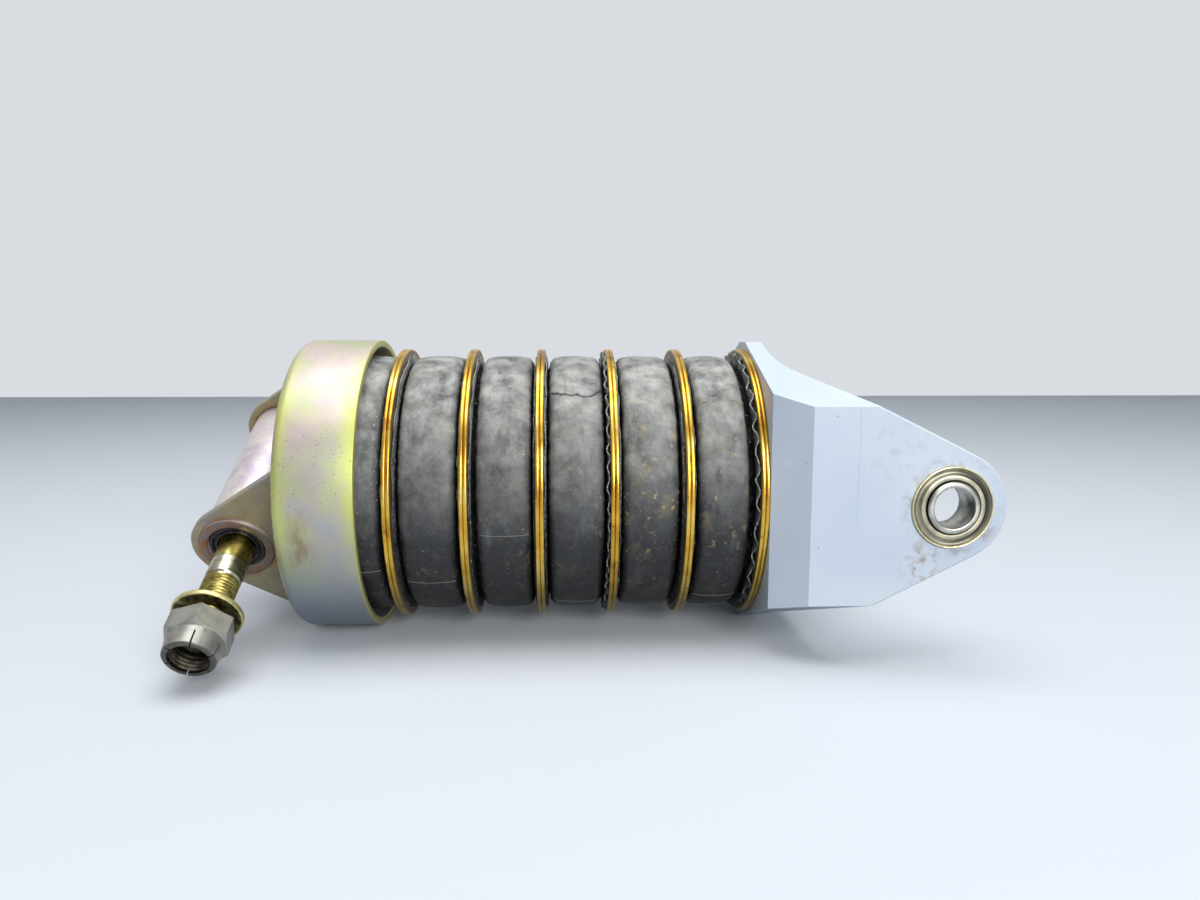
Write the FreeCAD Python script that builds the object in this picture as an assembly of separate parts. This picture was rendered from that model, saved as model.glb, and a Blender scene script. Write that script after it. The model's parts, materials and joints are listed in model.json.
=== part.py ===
import FreeCAD, Part
import math
import os
from FreeCAD import Vector

# Rubber-disc landing gear strut: six bonded rubber discs are stacked on a guide rod
# between a machined fork bracket and a steel cup. The cup carries two ears and a cross
# tube with the clevis bolt; the fork carries a spherical bearing in each lug.
#
# Millimetres. The origin is the centre of the fork's bearing bores, X runs along the
# strut from the cup towards the fork, Y runs along the bearing bores, and Z is up.

# ---- Clearances ----
running_fit = 0.05          # radial, between turning or sliding metal pieces
weld_gap = 0.02             # radial, where a piece is pressed or welded into a hole
rod_clearance = 0.4         # radial, rod in the bonded plates
slot_play = 0.2             # each side of the split pin in the nut's slots
hair = 0.01                 # how closely faces and edges are told apart

# ---- Disc stack ----
disc_count = 6
plate_diameter = 95.25
plate_thickness = 1.35
plate_edge_break = 0.35
rubber_height = 21.05
rubber_crown_inset = 2.4    # radial, each of these three inside the plates' edge
rubber_waist_inset = 3.9
rubber_foot_inset = 2.6
rubber_foot_height = 0.9
rubber_bore_gap = 1.5       # radial, rubber round the rod
rubber_crown_steps = 4      # short cones that make up the crown

# ---- Guide rod, with its nut, washer and split pin in the fork ----
rod_diameter = 25.4
rod_head_diameter = 63.5
rod_head_thickness = 6.8
rod_head_chamfer = 1.0
rod_thread_diameter = 19.05
rod_end_chamfer = 1.2
rod_end_stand_out = 0.8
rod_washer_diameter = 38.1
rod_washer_thickness = 1.6
rod_nut_across_flats = 27.0
rod_nut_height = 9.4
rod_nut_slot_depth = 3.6
split_pin_diameter = 2.4
split_pin_leg = 4.5
split_pin_reach = 0.6       # how far the pin's bends stand off the nut's corners

# ---- Fork bracket ----
eye_to_flange = 54.1
flange_half_width = 47.4
flange_corner_height = 34.3
ridge_half_width = 4.9
ridge_height = 50.3
flange_thickness = 5.8
flank_length = 10.4         # along X, over which the flanks spread to the lugs
lug_half_spread = 56.3      # strut axis to each lug's outer face
lug_thickness = 7.2
lug_slope_deg = 26.57
eye_radius = 17.35
shoulder_radius = 10.0
base_thickness = 19.05
slot_corner_radius = 12.7
nut_seat_thickness = 9.5
nut_pocket_diameter = 44.5
bush_wall = 3.2
fork_edge_round = 0.6

# ---- Spherical bearings ----
bearing_diameter = 25.4
race_stand_out = 1.0        # past each face of the lug
race_groove_diameter = 22.2
race_groove_width = 2.2
race_groove_depth = 0.75
race_edge_chamfer = 0.4
ball_bore = 12.7
ball_face_diameter = 15.4
ball_stand_out = 1.05       # past each face of the race
ball_bore_chamfer = 0.5

# ---- Cup, ears and cross tube ----
cup_clearance = 0.775       # radial, bonded plates in the cup
cup_wall = 2.4
cup_length = 25.4
cup_corner_radius = 3.0
cup_clocking_deg = 30.0     # how far the cup is turned about the strut's axis
ear_reach = 18.0            # cup back to the cross tube's axis
ear_tip_radius = 14.7
ear_base_half_width = 31.0
ear_thickness = 3.2
ear_half_spread = 33.7      # strut axis to each ear's outer face
tube_diameter = 23.9
tube_bore = 18.2
tube_stand_out = 1.1        # past each ear
tube_edge_round = 0.5
bush_length = 18.0
bush_recess = 2.8
seal_recess = 0.7
seal_thickness = 1.9
seal_bore = 12.9

# ---- Clevis bolt, washers and lock nut ----
bolt_diameter = 11.11
thread_relief = 0.12        # radial, thread crests below the shank
bolt_head_across_flats = 17.46
bolt_head_height = 7.1
bolt_grip = 85.9            # under the head to the first thread
bolt_thread_length = 24.5
bolt_end_chamfer = 1.0
head_washer_diameter = 20.6
washer_diameter = 21.0
washer_thickness = 1.6
washer_edge_round = 0.3
nut_stand_off = 27.7        # free shank between the cross tube and the nut's washer
nut_across_flats = 17.46
nut_hex_height = 7.4
nut_gap = 3.0               # bare thread between the washer and the nut
nut_clocking_deg = 18.0     # the way the nut's corners stand on the bolt
nut_face_inset = 0.9        # the collar side's round chamfer, inside the flats
nut_collar_base_diameter = 16.8
nut_collar_diameter = 15.4  # at the collar's open end
nut_collar_length = 5.6
nut_collar_bore = 11.8
nut_collar_chamfer = 0.5
nut_slit_count = 6
nut_slit_width = 0.5
nut_slit_length = 4.4
hex_chamfer_deg = 30.0
hex_face_inset = 0.15       # the round end face stays this far inside the flats

# ---- Places along the strut, worked out from the sizes above ----
flange_x = -eye_to_flange
disc_pitch = rubber_height + 2 * plate_thickness
stack_end_x = flange_x - plate_thickness
stack_start_x = stack_end_x - disc_count * disc_pitch
rod_head_x = stack_start_x - plate_thickness
cup_floor_x = rod_head_x - rod_head_thickness
cup_inner_radius = plate_diameter / 2 + cup_clearance
cup_outer_radius = cup_inner_radius + cup_wall
cup_back_x = cup_floor_x - cup_wall
tube_x = cup_back_x - ear_reach
nut_seat_x = flange_x + nut_seat_thickness
slot_x = flange_x + base_thickness
rod_radius = rod_diameter / 2
plate_bore_radius = rod_radius + rod_clearance

# ---- Places along the clevis bolt, from the strut's axis towards the nut ----
tube_half_length = ear_half_spread + tube_stand_out
head_seat = -tube_half_length - washer_thickness
thread_start = head_seat + bolt_grip
bolt_end = thread_start + bolt_thread_length
nut_washer_place = tube_half_length + nut_stand_off
nut_place = nut_washer_place + washer_thickness + nut_gap

nodes = {}


# ---- Helpers ----
def turned(points):
    """A solid of revolution about X from (x, radius) points joined by straight lines."""
    corners = [Vector(x, r, 0) for x, r in points]
    outline = Part.makePolygon(corners + corners[:1])
    return Part.Face(outline).revolve(Vector(), Vector(1, 0, 0), 360)


def turned_from(edges):
    """A solid of revolution about X from the edges of a closed outline."""
    return Part.Face(Part.Wire(edges)).revolve(Vector(), Vector(1, 0, 0), 360)


def ring(x, length, outer_radius, inner_radius, edge=0.0):
    """A plain ring along X, its outer edges broken by a small chamfer."""
    end = x + length
    return turned([
        (x, inner_radius),
        (x, outer_radius - edge),
        (x + edge, outer_radius),
        (end - edge, outer_radius),
        (end, outer_radius - edge),
        (end, inner_radius),
    ])


def rod(x, length, radius):
    """A plain cylinder along X."""
    return Part.makeCylinder(radius, length, Vector(x, 0, 0), Vector(1, 0, 0))


def line(a, b):
    return Part.LineSegment(a, b).toShape()


def arc(a, middle, b):
    return Part.Arc(a, middle, b).toShape()


def polyline(points):
    """Straight edges through (x, radius) points."""
    corners = [Vector(x, r, 0) for x, r in points]
    return [line(a, b) for a, b in zip(corners, corners[1:])]


def hexagon(x, length, across_flats, chamfer_start, chamfer_end, face_inset=hex_face_inset):
    """A hexagonal bar along X whose corners are turned to a cone at the ends asked for."""
    corner_radius = across_flats / math.sqrt(3)
    angles = [math.radians(60 * i) for i in range(7)]
    corners = [Vector(x, corner_radius * math.cos(a), corner_radius * math.sin(a)) for a in angles]
    prism = Part.Face(Part.makePolygon(corners)).extrude(Vector(length, 0, 0))
    face_radius = across_flats / 2 - face_inset
    drop = (corner_radius - face_radius) * math.tan(math.radians(hex_chamfer_deg))
    first = face_radius if chamfer_start else corner_radius
    last = face_radius if chamfer_end else corner_radius
    cone = turned([
        (x, 0),
        (x, first),
        (x + drop, corner_radius),
        (x + length - drop, corner_radius),
        (x + length, last),
        (x + length, 0),
    ])
    return prism.common(cone)


def clocked(shape):
    """Turns a piece of the cup's group about the strut's axis to where the cup stands."""
    turned_shape = shape.copy()
    turned_shape.rotate(Vector(), Vector(1, 0, 0), cup_clocking_deg)
    return turned_shape


def on_bolt_axis(shape):
    """Moves a piece made along X to the cross tube's axis, pointing towards the nut."""
    placed = shape.copy()
    placed.rotate(Vector(), Vector(0, 0, 1), -90)
    placed.translate(Vector(tube_x, 0, 0))
    return clocked(placed)


def in_lug(shape, side):
    """Moves a piece made along X to a lug's bearing; side is -1 in front and +1 behind."""
    placed = shape.copy()
    placed.rotate(Vector(), Vector(0, 0, 1), 90 * side)
    return placed


def mirrored_points(points):
    """Points given above the X axis, followed by their reflections in reverse order."""
    return points + [Vector(p.x, p.y, -p.z) for p in reversed(points)]


# ---- Disc stack ----
def bonded_plate(x):
    """A thin round steel plate whose left face is at x."""
    return ring(x, plate_thickness, plate_diameter / 2, plate_bore_radius, plate_edge_break)


def rubber_disc(x):
    """A rubber disc from x: crowned at mid height, with a neck beside each plate's foot."""
    waist = plate_diameter / 2 - rubber_waist_inset
    foot = plate_diameter / 2 - rubber_foot_inset
    bore = rod_radius + rubber_bore_gap
    end = x + rubber_height
    low_neck = x + rubber_foot_height
    high_neck = end - rubber_foot_height
    swell = rubber_waist_inset - rubber_crown_inset
    crown = []
    for step in range(rubber_crown_steps + 1):
        across = 2 * step / rubber_crown_steps - 1
        place = (x + end) / 2 + across * (high_neck - low_neck) / 2
        crown.append((place, waist + swell * (1 - across ** 2)))
    left = [(x, bore), (x, foot), (low_neck, foot)]
    right = [(high_neck, foot), (end, foot), (end, bore)]
    return turned(left + crown + right)


def make_disc_stack():
    """Each disc is a rubber ring bonded between two plates; one more plate backs each end."""
    for number in range(1, disc_count + 1):
        left = stack_start_x + (number - 1) * disc_pitch
        nodes[f"disc_{number}_cup_plate"] = bonded_plate(left)
        nodes[f"rubber_disc_{number}"] = rubber_disc(left + plate_thickness)
        nodes[f"disc_{number}_fork_plate"] = bonded_plate(left + disc_pitch - plate_thickness)
    nodes["cup_backing_plate"] = bonded_plate(stack_start_x - plate_thickness)
    nodes["fork_backing_plate"] = bonded_plate(stack_end_x)


# ---- Fork bracket ----
def roof_height(y):
    """Height of the sloping roof faces at a distance y from the strut's axis."""
    fall = (ridge_height - flange_corner_height) / (flange_half_width - ridge_half_width)
    return ridge_height - fall * (y - ridge_half_width)


def fork_end_view():
    """The fork seen along the strut: flat sides, sloping roofs and a narrow ridge."""
    corners = mirrored_points([
        Vector(flange_x, lug_half_spread, roof_height(lug_half_spread)),
        Vector(flange_x, ridge_half_width, ridge_height),
        Vector(flange_x, -ridge_half_width, ridge_height),
        Vector(flange_x, -lug_half_spread, roof_height(lug_half_spread)),
    ])
    outline = Part.makePolygon(corners + corners[:1])
    return Part.Face(outline).extrude(Vector(eye_to_flange + eye_radius, 0, 0))


def fork_side_view():
    """The fork seen along the bores: a flange, concave shoulders and two tapering edges."""
    slope = math.radians(lug_slope_deg)
    tangent = Vector(eye_radius * math.sin(slope), 0, eye_radius * math.cos(slope))
    shoulder_x = flange_x + flange_thickness
    corner_z = tangent.z + (tangent.x - shoulder_x) * math.tan(slope)
    corner = Vector(shoulder_x, 0, corner_z)
    reach = shoulder_radius / math.tan((math.pi / 2 + slope) / 2)
    top = corner + Vector(0, 0, reach)
    foot = corner + Vector(math.cos(slope), 0, -math.sin(slope)) * reach
    centre = top + Vector(shoulder_radius, 0, 0)
    middle = centre + (corner - centre).normalize() * shoulder_radius
    flange_top = Vector(shoulder_x, 0, ridge_height)
    flange_face = Vector(flange_x, 0, ridge_height)

    def below(p):
        return Vector(p.x, 0, -p.z)

    edges = [
        line(flange_face, flange_top),
        line(flange_top, top),
        arc(top, middle, foot),
        line(foot, tangent),
        arc(tangent, Vector(eye_radius, 0, 0), below(tangent)),
        line(below(tangent), below(foot)),
        arc(below(foot), below(middle), below(top)),
        line(below(top), below(flange_top)),
        line(below(flange_top), below(flange_face)),
        line(below(flange_face), flange_face),
    ]
    side = Part.Face(Part.Wire(edges)).extrude(Vector(0, 2 * lug_half_spread, 0))
    side.translate(Vector(0, -lug_half_spread, 0))
    return side


def fork_plan_view():
    """The fork seen from above: the flanks spread from the flange out to the lugs."""
    spread_x = flange_x + flank_length
    corners = [
        Vector(flange_x, -flange_half_width, -ridge_height),
        Vector(spread_x, -lug_half_spread, -ridge_height),
        Vector(eye_radius, -lug_half_spread, -ridge_height),
        Vector(eye_radius, lug_half_spread, -ridge_height),
        Vector(spread_x, lug_half_spread, -ridge_height),
        Vector(flange_x, flange_half_width, -ridge_height),
    ]
    outline = Part.makePolygon(corners + corners[:1])
    return Part.Face(outline).extrude(Vector(0, 0, 2 * ridge_height))


def fork_slot():
    """The open slot between the lugs, with round inner corners."""
    half = lug_half_spread - lug_thickness
    bend = slot_corner_radius
    middle = bend * (1 - math.sqrt(0.5))
    open_x = 2 * eye_radius
    z = -ridge_height

    def at(x, y):
        return Vector(x, y, z)

    edges = [
        line(at(open_x, -half), at(slot_x + bend, -half)),
        arc(at(slot_x + bend, -half), at(slot_x + middle, middle - half), at(slot_x, bend - half)),
        line(at(slot_x, bend - half), at(slot_x, half - bend)),
        arc(at(slot_x, half - bend), at(slot_x + middle, half - middle), at(slot_x + bend, half)),
        line(at(slot_x + bend, half), at(open_x, half)),
        line(at(open_x, half), at(open_x, -half)),
    ]
    return Part.Face(Part.Wire(edges)).extrude(Vector(0, 0, 2 * ridge_height))


def bearing_hole():
    """One long hole for both bearings, right through the lugs."""
    radius = bearing_diameter / 2 + weld_gap
    start = Vector(0, -2 * lug_half_spread, 0)
    return Part.makeCylinder(radius, 4 * lug_half_spread, start, Vector(0, 1, 0))


def fork_bracket():
    """The fork is what its three views have in common, less its slot, pocket and holes."""
    block = fork_end_view().common(fork_side_view()).common(fork_plan_view())
    bush_hole = rod(flange_x, base_thickness, rod_radius + running_fit + bush_wall + weld_gap)
    nut_pocket = rod(nut_seat_x, base_thickness, nut_pocket_diameter / 2)
    fork = block.cut(fork_slot()).cut(bush_hole).cut(nut_pocket).cut(bearing_hole())
    outer_edges = []
    for face in fork.Faces:
        flat = face.BoundBox.YLength < hair
        outermost = abs(face.BoundBox.YMax) > lug_half_spread - hair
        if flat and outermost:
            beside_slot = slot_x + slot_corner_radius
            outer_edges += [e for e in face.OuterWire.Edges if e.BoundBox.XMax > beside_slot]
    return fork.makeFillet(fork_edge_round, outer_edges)


def guide_bush():
    """The sleeve in the fork's base that the guide rod slides and turns in."""
    inner = rod_radius + running_fit
    return ring(flange_x, nut_seat_thickness, inner + bush_wall, inner)


# ---- Spherical bearings ----
race_half_width = lug_thickness / 2 + race_stand_out
ball_half_width = race_half_width + ball_stand_out
ball_radius = math.hypot(ball_face_diameter / 2, ball_half_width)
bearing_place = lug_half_spread - lug_thickness / 2


def bearing_race():
    """A ring with a spherical bore and a round staking groove in each face."""
    outer = bearing_diameter / 2
    bore = ball_radius + running_fit
    mouth = math.sqrt(bore ** 2 - race_half_width ** 2)
    groove = [(race_groove_diameter - race_groove_width) / 2, race_groove_diameter / 2,
              (race_groove_diameter + race_groove_width) / 2]
    low = bearing_place - race_half_width
    high = bearing_place + race_half_width
    section = [
        (low, mouth),
        (low, groove[0]),
        (low + race_groove_depth, groove[1]),
        (low, groove[2]),
        (low, outer - race_edge_chamfer),
        (low + race_edge_chamfer, outer),
        (high - race_edge_chamfer, outer),
        (high, outer - race_edge_chamfer),
        (high, groove[2]),
        (high - race_groove_depth, groove[1]),
        (high, groove[0]),
        (high, mouth),
    ]
    spherical = arc(Vector(high, mouth, 0), Vector(bearing_place, bore, 0), Vector(low, mouth, 0))
    return turned_from(polyline(section) + [spherical])


def bearing_ball():
    """A ball cut flat on two sides, with the pin's bore through it."""
    bore = ball_bore / 2
    mouth = bore + ball_bore_chamfer
    face = ball_face_diameter / 2
    low = bearing_place - ball_half_width
    high = bearing_place + ball_half_width
    section = [
        (high, face),
        (high, mouth),
        (high - ball_bore_chamfer, bore),
        (low + ball_bore_chamfer, bore),
        (low, mouth),
        (low, face),
    ]
    spherical = arc(Vector(low, face, 0), Vector(bearing_place, ball_radius, 0), Vector(high, face, 0))
    return turned_from(polyline(section) + [spherical])


def make_bearings():
    """The same bearing in each lug."""
    for side, name in ((-1, "front"), (1, "rear")):
        nodes[f"bearing_race_{name}"] = in_lug(bearing_race(), side)
        nodes[f"bearing_ball_{name}"] = in_lug(bearing_ball(), side)


# ---- Guide rod and its fasteners ----
rod_washer_end = nut_seat_x + rod_washer_thickness
rod_nut_end = rod_washer_end + rod_nut_height
rod_end = rod_nut_end + rod_end_stand_out
split_pin_x = rod_nut_end - rod_nut_slot_depth / 2


def split_pin_hole(radius):
    """A cross hole on Z at the nut's slots."""
    reach = rod_nut_across_flats
    return Part.makeCylinder(radius, 2 * reach, Vector(split_pin_x, 0, -reach), Vector(0, 0, 1))


def guide_rod():
    """A headed rod: a spigot in the cup's back, a long shaft, a shoulder and a thread."""
    thread = rod_thread_diameter / 2
    head = rod_head_diameter / 2
    body = turned([
        (cup_back_x, 0),
        (cup_back_x, thread),
        (cup_floor_x, thread),
        (cup_floor_x, head - rod_head_chamfer),
        (cup_floor_x + rod_head_chamfer, head),
        (rod_head_x, head),
        (rod_head_x, rod_radius),
        (nut_seat_x, rod_radius),
        (nut_seat_x, thread),
        (rod_end - rod_end_chamfer, thread),
        (rod_end, thread - rod_end_chamfer),
        (rod_end, 0),
    ])
    return clocked(body.cut(split_pin_hole(split_pin_diameter / 2 + running_fit)))


def rod_washer():
    """A washer under the castle nut."""
    bore = rod_thread_diameter / 2 + weld_gap
    return ring(nut_seat_x, rod_washer_thickness, rod_washer_diameter / 2, bore, washer_edge_round)


def rod_nut():
    """A castle nut: a hexagon with six slots across its end."""
    blank = hexagon(rod_washer_end, rod_nut_height, rod_nut_across_flats, True, True)
    nut = blank.cut(rod(rod_washer_end, rod_nut_height, rod_thread_diameter / 2 + weld_gap))
    width = split_pin_diameter + 2 * slot_play
    slot = Part.makeBox(
        rod_nut_slot_depth,
        width,
        rod_nut_across_flats,
        Vector(rod_nut_end - rod_nut_slot_depth, -width / 2, 0),
    )
    for turn in range(6):
        cutter = slot.copy()
        cutter.rotate(Vector(), Vector(1, 0, 0), 60 * turn)
        nut = nut.cut(cutter)
    return clocked(nut)


def split_pin():
    """A pin across the rod and the nut's slots, its ends bent over the nut's flats."""
    radius = split_pin_diameter / 2
    across = rod_nut_across_flats / 2 + radius + split_pin_reach
    low = Vector(split_pin_x, 0, -across)
    high = Vector(split_pin_x, 0, across)
    pin = Part.makeCylinder(radius, 2 * across, low, Vector(0, 0, 1))
    for end in (low, high):
        leg = Part.makeCylinder(radius, split_pin_leg, end, Vector(-1, 0, 0))
        pin = pin.fuse(leg).fuse(Part.makeSphere(radius, end))
    return clocked(pin.removeSplitter())


# ---- Cup, ears and cross tube ----
def cup_shell():
    """A pressed steel cup, open towards the discs, with a hole for the rod's spigot."""
    outer = cup_outer_radius
    inner = cup_inner_radius
    rim_x = cup_back_x + cup_length
    bend = cup_corner_radius
    hole = rod_thread_diameter / 2 + weld_gap
    diagonal = 1 - math.sqrt(0.5)
    edges = [
        line(Vector(cup_back_x, hole, 0), Vector(cup_back_x, outer - bend, 0)),
        arc(
            Vector(cup_back_x, outer - bend, 0),
            Vector(cup_back_x + bend * diagonal, outer - bend * diagonal, 0),
            Vector(cup_back_x + bend, outer, 0),
        ),
        line(Vector(cup_back_x + bend, outer, 0), Vector(rim_x, outer, 0)),
        line(Vector(rim_x, outer, 0), Vector(rim_x, inner, 0)),
        line(Vector(rim_x, inner, 0), Vector(cup_floor_x, inner, 0)),
        line(Vector(cup_floor_x, inner, 0), Vector(cup_floor_x, hole, 0)),
        line(Vector(cup_floor_x, hole, 0), Vector(cup_back_x, hole, 0)),
    ]
    return turned_from(edges)


def ear(side):
    """An ear plate welded to the cup's back: a wide base and a round tip on the tube."""
    base = math.hypot(ear_reach, ear_base_half_width)
    lean = math.atan2(ear_base_half_width, ear_reach) + math.acos(ear_tip_radius / base)
    axis = Vector(tube_x, 0, 0)
    touch = axis + Vector(math.cos(lean), 0, math.sin(lean)) * ear_tip_radius
    corner = Vector(cup_back_x, 0, ear_base_half_width)
    tip = axis - Vector(ear_tip_radius, 0, 0)
    low_touch = Vector(touch.x, 0, -touch.z)
    low_corner = Vector(corner.x, 0, -corner.z)
    outline = Part.Wire([
        line(corner, touch),
        arc(touch, tip, low_touch),
        line(low_touch, low_corner),
        line(low_corner, corner),
    ])
    plate = Part.Face(outline).extrude(Vector(0, ear_thickness, 0))
    hole_start = axis - Vector(0, ear_thickness, 0)
    hole = Part.makeCylinder(tube_diameter / 2 + weld_gap, 3 * ear_thickness, hole_start, Vector(0, 1, 0))
    plate = plate.cut(hole)
    inner_face = ear_half_spread - ear_thickness
    plate.translate(Vector(0, inner_face if side > 0 else -ear_half_spread, 0))
    return clocked(plate)


def cross_tube():
    """The tube through both ears."""
    tube = ring(-tube_half_length, 2 * tube_half_length, tube_diameter / 2, tube_bore / 2, tube_edge_round)
    return on_bolt_axis(tube)


def make_tube_linings():
    """A bush and a rubber dust seal in each end of the cross tube."""
    bolt_radius = bolt_diameter / 2
    lining_radius = tube_bore / 2 - weld_gap
    for side, name in ((1, "front"), (-1, "rear")):
        bush_start = tube_half_length - bush_recess - bush_length
        bush = ring(bush_start, bush_length, lining_radius, bolt_radius + running_fit)
        seal_start = tube_half_length - seal_recess - seal_thickness
        seal = ring(seal_start, seal_thickness, lining_radius, seal_bore / 2)
        if side < 0:
            bush = bush.mirror(Vector(), Vector(1, 0, 0))
            seal = seal.mirror(Vector(), Vector(1, 0, 0))
        nodes[f"tube_bush_{name}"] = on_bolt_axis(bush)
        nodes[f"dust_seal_{name}"] = on_bolt_axis(seal)


# ---- Clevis bolt, washers and lock nut ----
def clevis_bolt():
    """A hexagon-headed bolt with a plain shank and a short thread."""
    shank = bolt_diameter / 2
    thread = shank - thread_relief
    head = hexagon(head_seat - bolt_head_height, bolt_head_height, bolt_head_across_flats, True, False)
    body = turned([
        (head_seat, 0),
        (head_seat, shank),
        (thread_start, shank),
        (thread_start + thread_relief, thread),
        (bolt_end - bolt_end_chamfer, thread),
        (bolt_end, thread - bolt_end_chamfer),
        (bolt_end, 0),
    ])
    return on_bolt_axis(head.fuse(body))


def washer(place, diameter):
    """A plain washer on the bolt."""
    return on_bolt_axis(ring(
        place, washer_thickness, diameter / 2, bolt_diameter / 2 + running_fit, washer_edge_round
    ))


def lock_nut():
    """A split-beam lock nut: a hexagon with a long collar cut into springy fingers."""
    collar_start = nut_place + nut_hex_height
    end = collar_start + nut_collar_length
    collar_base = nut_collar_base_diameter / 2
    collar_end = nut_collar_diameter / 2
    bore = bolt_diameter / 2 + running_fit
    hex_part = hexagon(nut_place, nut_hex_height, nut_across_flats, False, True, nut_face_inset)
    hex_part.rotate(Vector(), Vector(1, 0, 0), nut_clocking_deg)
    collar_part = turned([
        (collar_start - nut_hex_height / 2, 0),
        (collar_start - nut_hex_height / 2, collar_base),
        (collar_start, collar_base),
        (end - nut_collar_chamfer, collar_end),
        (end, collar_end - nut_collar_chamfer),
        (end, 0),
    ])
    hole = turned([
        (nut_place, 0),
        (nut_place, bore),
        (collar_start, bore),
        (collar_start + nut_collar_chamfer, nut_collar_bore / 2),
        (end, nut_collar_bore / 2),
        (end, 0),
    ])
    nut = hex_part.fuse(collar_part).cut(hole)
    slit = Part.makeBox(
        nut_slit_length,
        nut_slit_width,
        nut_collar_base_diameter,
        Vector(end - nut_slit_length, -nut_slit_width / 2, 0),
    )
    for turn in range(nut_slit_count):
        cutter = slit.copy()
        cutter.rotate(Vector(), Vector(1, 0, 0), 360 * turn / nut_slit_count - nut_clocking_deg)
        nut = nut.cut(cutter)
    return on_bolt_axis(nut)


# ---- Everything ----
make_disc_stack()
nodes["fork_bracket"] = fork_bracket()
nodes["guide_bush"] = guide_bush()
make_bearings()
nodes["guide_rod"] = guide_rod()
nodes["rod_washer"] = rod_washer()
nodes["rod_nut"] = rod_nut()
nodes["split_pin"] = split_pin()
nodes["cup_shell"] = cup_shell()
nodes["ear_front"] = ear(-1)
nodes["ear_rear"] = ear(1)
nodes["cross_tube"] = cross_tube()
make_tube_linings()
nodes["clevis_bolt"] = clevis_bolt()
nodes["bolt_head_washer"] = washer(head_seat, head_washer_diameter)
nodes["bolt_nut_washer"] = washer(nut_washer_place, washer_diameter)
nodes["lock_nut"] = lock_nut()

os.makedirs("parts", exist_ok=True)
for name, shape in nodes.items():
    solids = shape.Solids
    piece = solids[0] if len(solids) == 1 else Part.makeCompound(solids)
    if len(solids) != 1 or not piece.isValid():
        print("check", name, "solids", len(solids), "valid", piece.isValid())
    piece.exportStep(os.path.join("parts", f"{name}.step"))
print(len(nodes), "nodes")
print("fork eye to cross tube", round(-tube_x, 2), "mm")
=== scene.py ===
# %% [markdown]
# # A rubber-disc landing gear strut
# Six rubber discs sit on a guide rod between a painted fork bracket and a plated steel cup.
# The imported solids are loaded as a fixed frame. Every visible piece is then either dressed
# with a finish or modelled again with rounder edges and finer detail, riding on its body.

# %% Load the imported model
import json
import math

import bmesh
import bpy
from mathutils import Matrix, Vector, noise


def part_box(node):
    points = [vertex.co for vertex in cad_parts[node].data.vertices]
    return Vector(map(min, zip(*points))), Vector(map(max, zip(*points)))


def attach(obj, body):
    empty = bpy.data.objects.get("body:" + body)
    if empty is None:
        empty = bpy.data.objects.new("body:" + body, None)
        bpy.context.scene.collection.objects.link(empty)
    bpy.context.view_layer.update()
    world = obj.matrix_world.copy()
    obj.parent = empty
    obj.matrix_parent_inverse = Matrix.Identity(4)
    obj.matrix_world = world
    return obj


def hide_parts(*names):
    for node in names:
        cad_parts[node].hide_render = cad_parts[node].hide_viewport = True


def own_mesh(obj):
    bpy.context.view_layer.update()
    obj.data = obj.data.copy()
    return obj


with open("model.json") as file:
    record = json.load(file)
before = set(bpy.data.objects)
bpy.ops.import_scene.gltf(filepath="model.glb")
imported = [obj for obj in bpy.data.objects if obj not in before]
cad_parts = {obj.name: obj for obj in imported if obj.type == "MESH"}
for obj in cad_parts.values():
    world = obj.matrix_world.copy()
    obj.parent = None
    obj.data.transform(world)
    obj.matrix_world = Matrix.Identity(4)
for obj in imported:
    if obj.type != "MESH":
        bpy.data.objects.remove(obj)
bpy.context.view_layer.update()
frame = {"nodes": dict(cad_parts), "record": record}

MM = 0.001

# %% [markdown]
# Plates, discs, cup and rings were all turned or pressed round one axis. They could be
# primitive cylinders, but those have sharp corners and no profile. Instead an outline of
# (x, radius) points in millimetres is spun about X, and its sharp edges are bevelled, so
# that they catch the light as a real broken edge does.


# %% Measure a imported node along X
def span(node):
    """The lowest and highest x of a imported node, in millimetres."""
    low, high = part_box(node)
    return low[0] / MM, high[0] / MM


def outer_radius(node):
    """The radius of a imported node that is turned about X, in millimetres."""
    low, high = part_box(node)
    return (high[2] - low[2]) / 2 / MM


cup_back, cup_rim = span("cup_shell")
cup_radius = outer_radius("cup_shell")
plate_radius = outer_radius("cup_backing_plate")
print("cup from", round(cup_back, 2), "to", round(cup_rim, 2), "mm, radius", round(cup_radius, 2))


# %% Turn and round a piece
def spun(outline, steps, closed=True):
    """A bmesh of an outline of (x, radius) points in millimetres, spun about X."""
    shape = bmesh.new()
    points = [shape.verts.new((x * MM, 0, r * MM)) for x, r in outline]
    pairs = list(zip(points, points[1:] + points[:1])) if closed else list(zip(points, points[1:]))
    edges = [shape.edges.new(pair) for pair in pairs]
    bmesh.ops.spin(
        shape, geom=points + edges, axis=(1, 0, 0), cent=(0, 0, 0),
        angle=2 * math.pi, steps=steps, use_merge=True,
    )
    bmesh.ops.remove_doubles(shape, verts=shape.verts, dist=1e-7)
    bmesh.ops.recalc_face_normals(shape, faces=shape.faces)
    return shape


def soften(shape, width, segments=3, sharper_than=30):
    """Rounds every edge of a bmesh that is sharper than an angle in degrees."""
    limit = math.radians(sharper_than)
    sharp = [e for e in shape.edges if e.is_manifold and e.calc_face_angle(0) > limit]
    bmesh.ops.bevel(
        shape, geom=sharp, offset=width * MM, offset_type="OFFSET", affect="EDGES",
        segments=segments, profile=0.5, material=-1, clamp_overlap=True,
    )
    return shape


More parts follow.
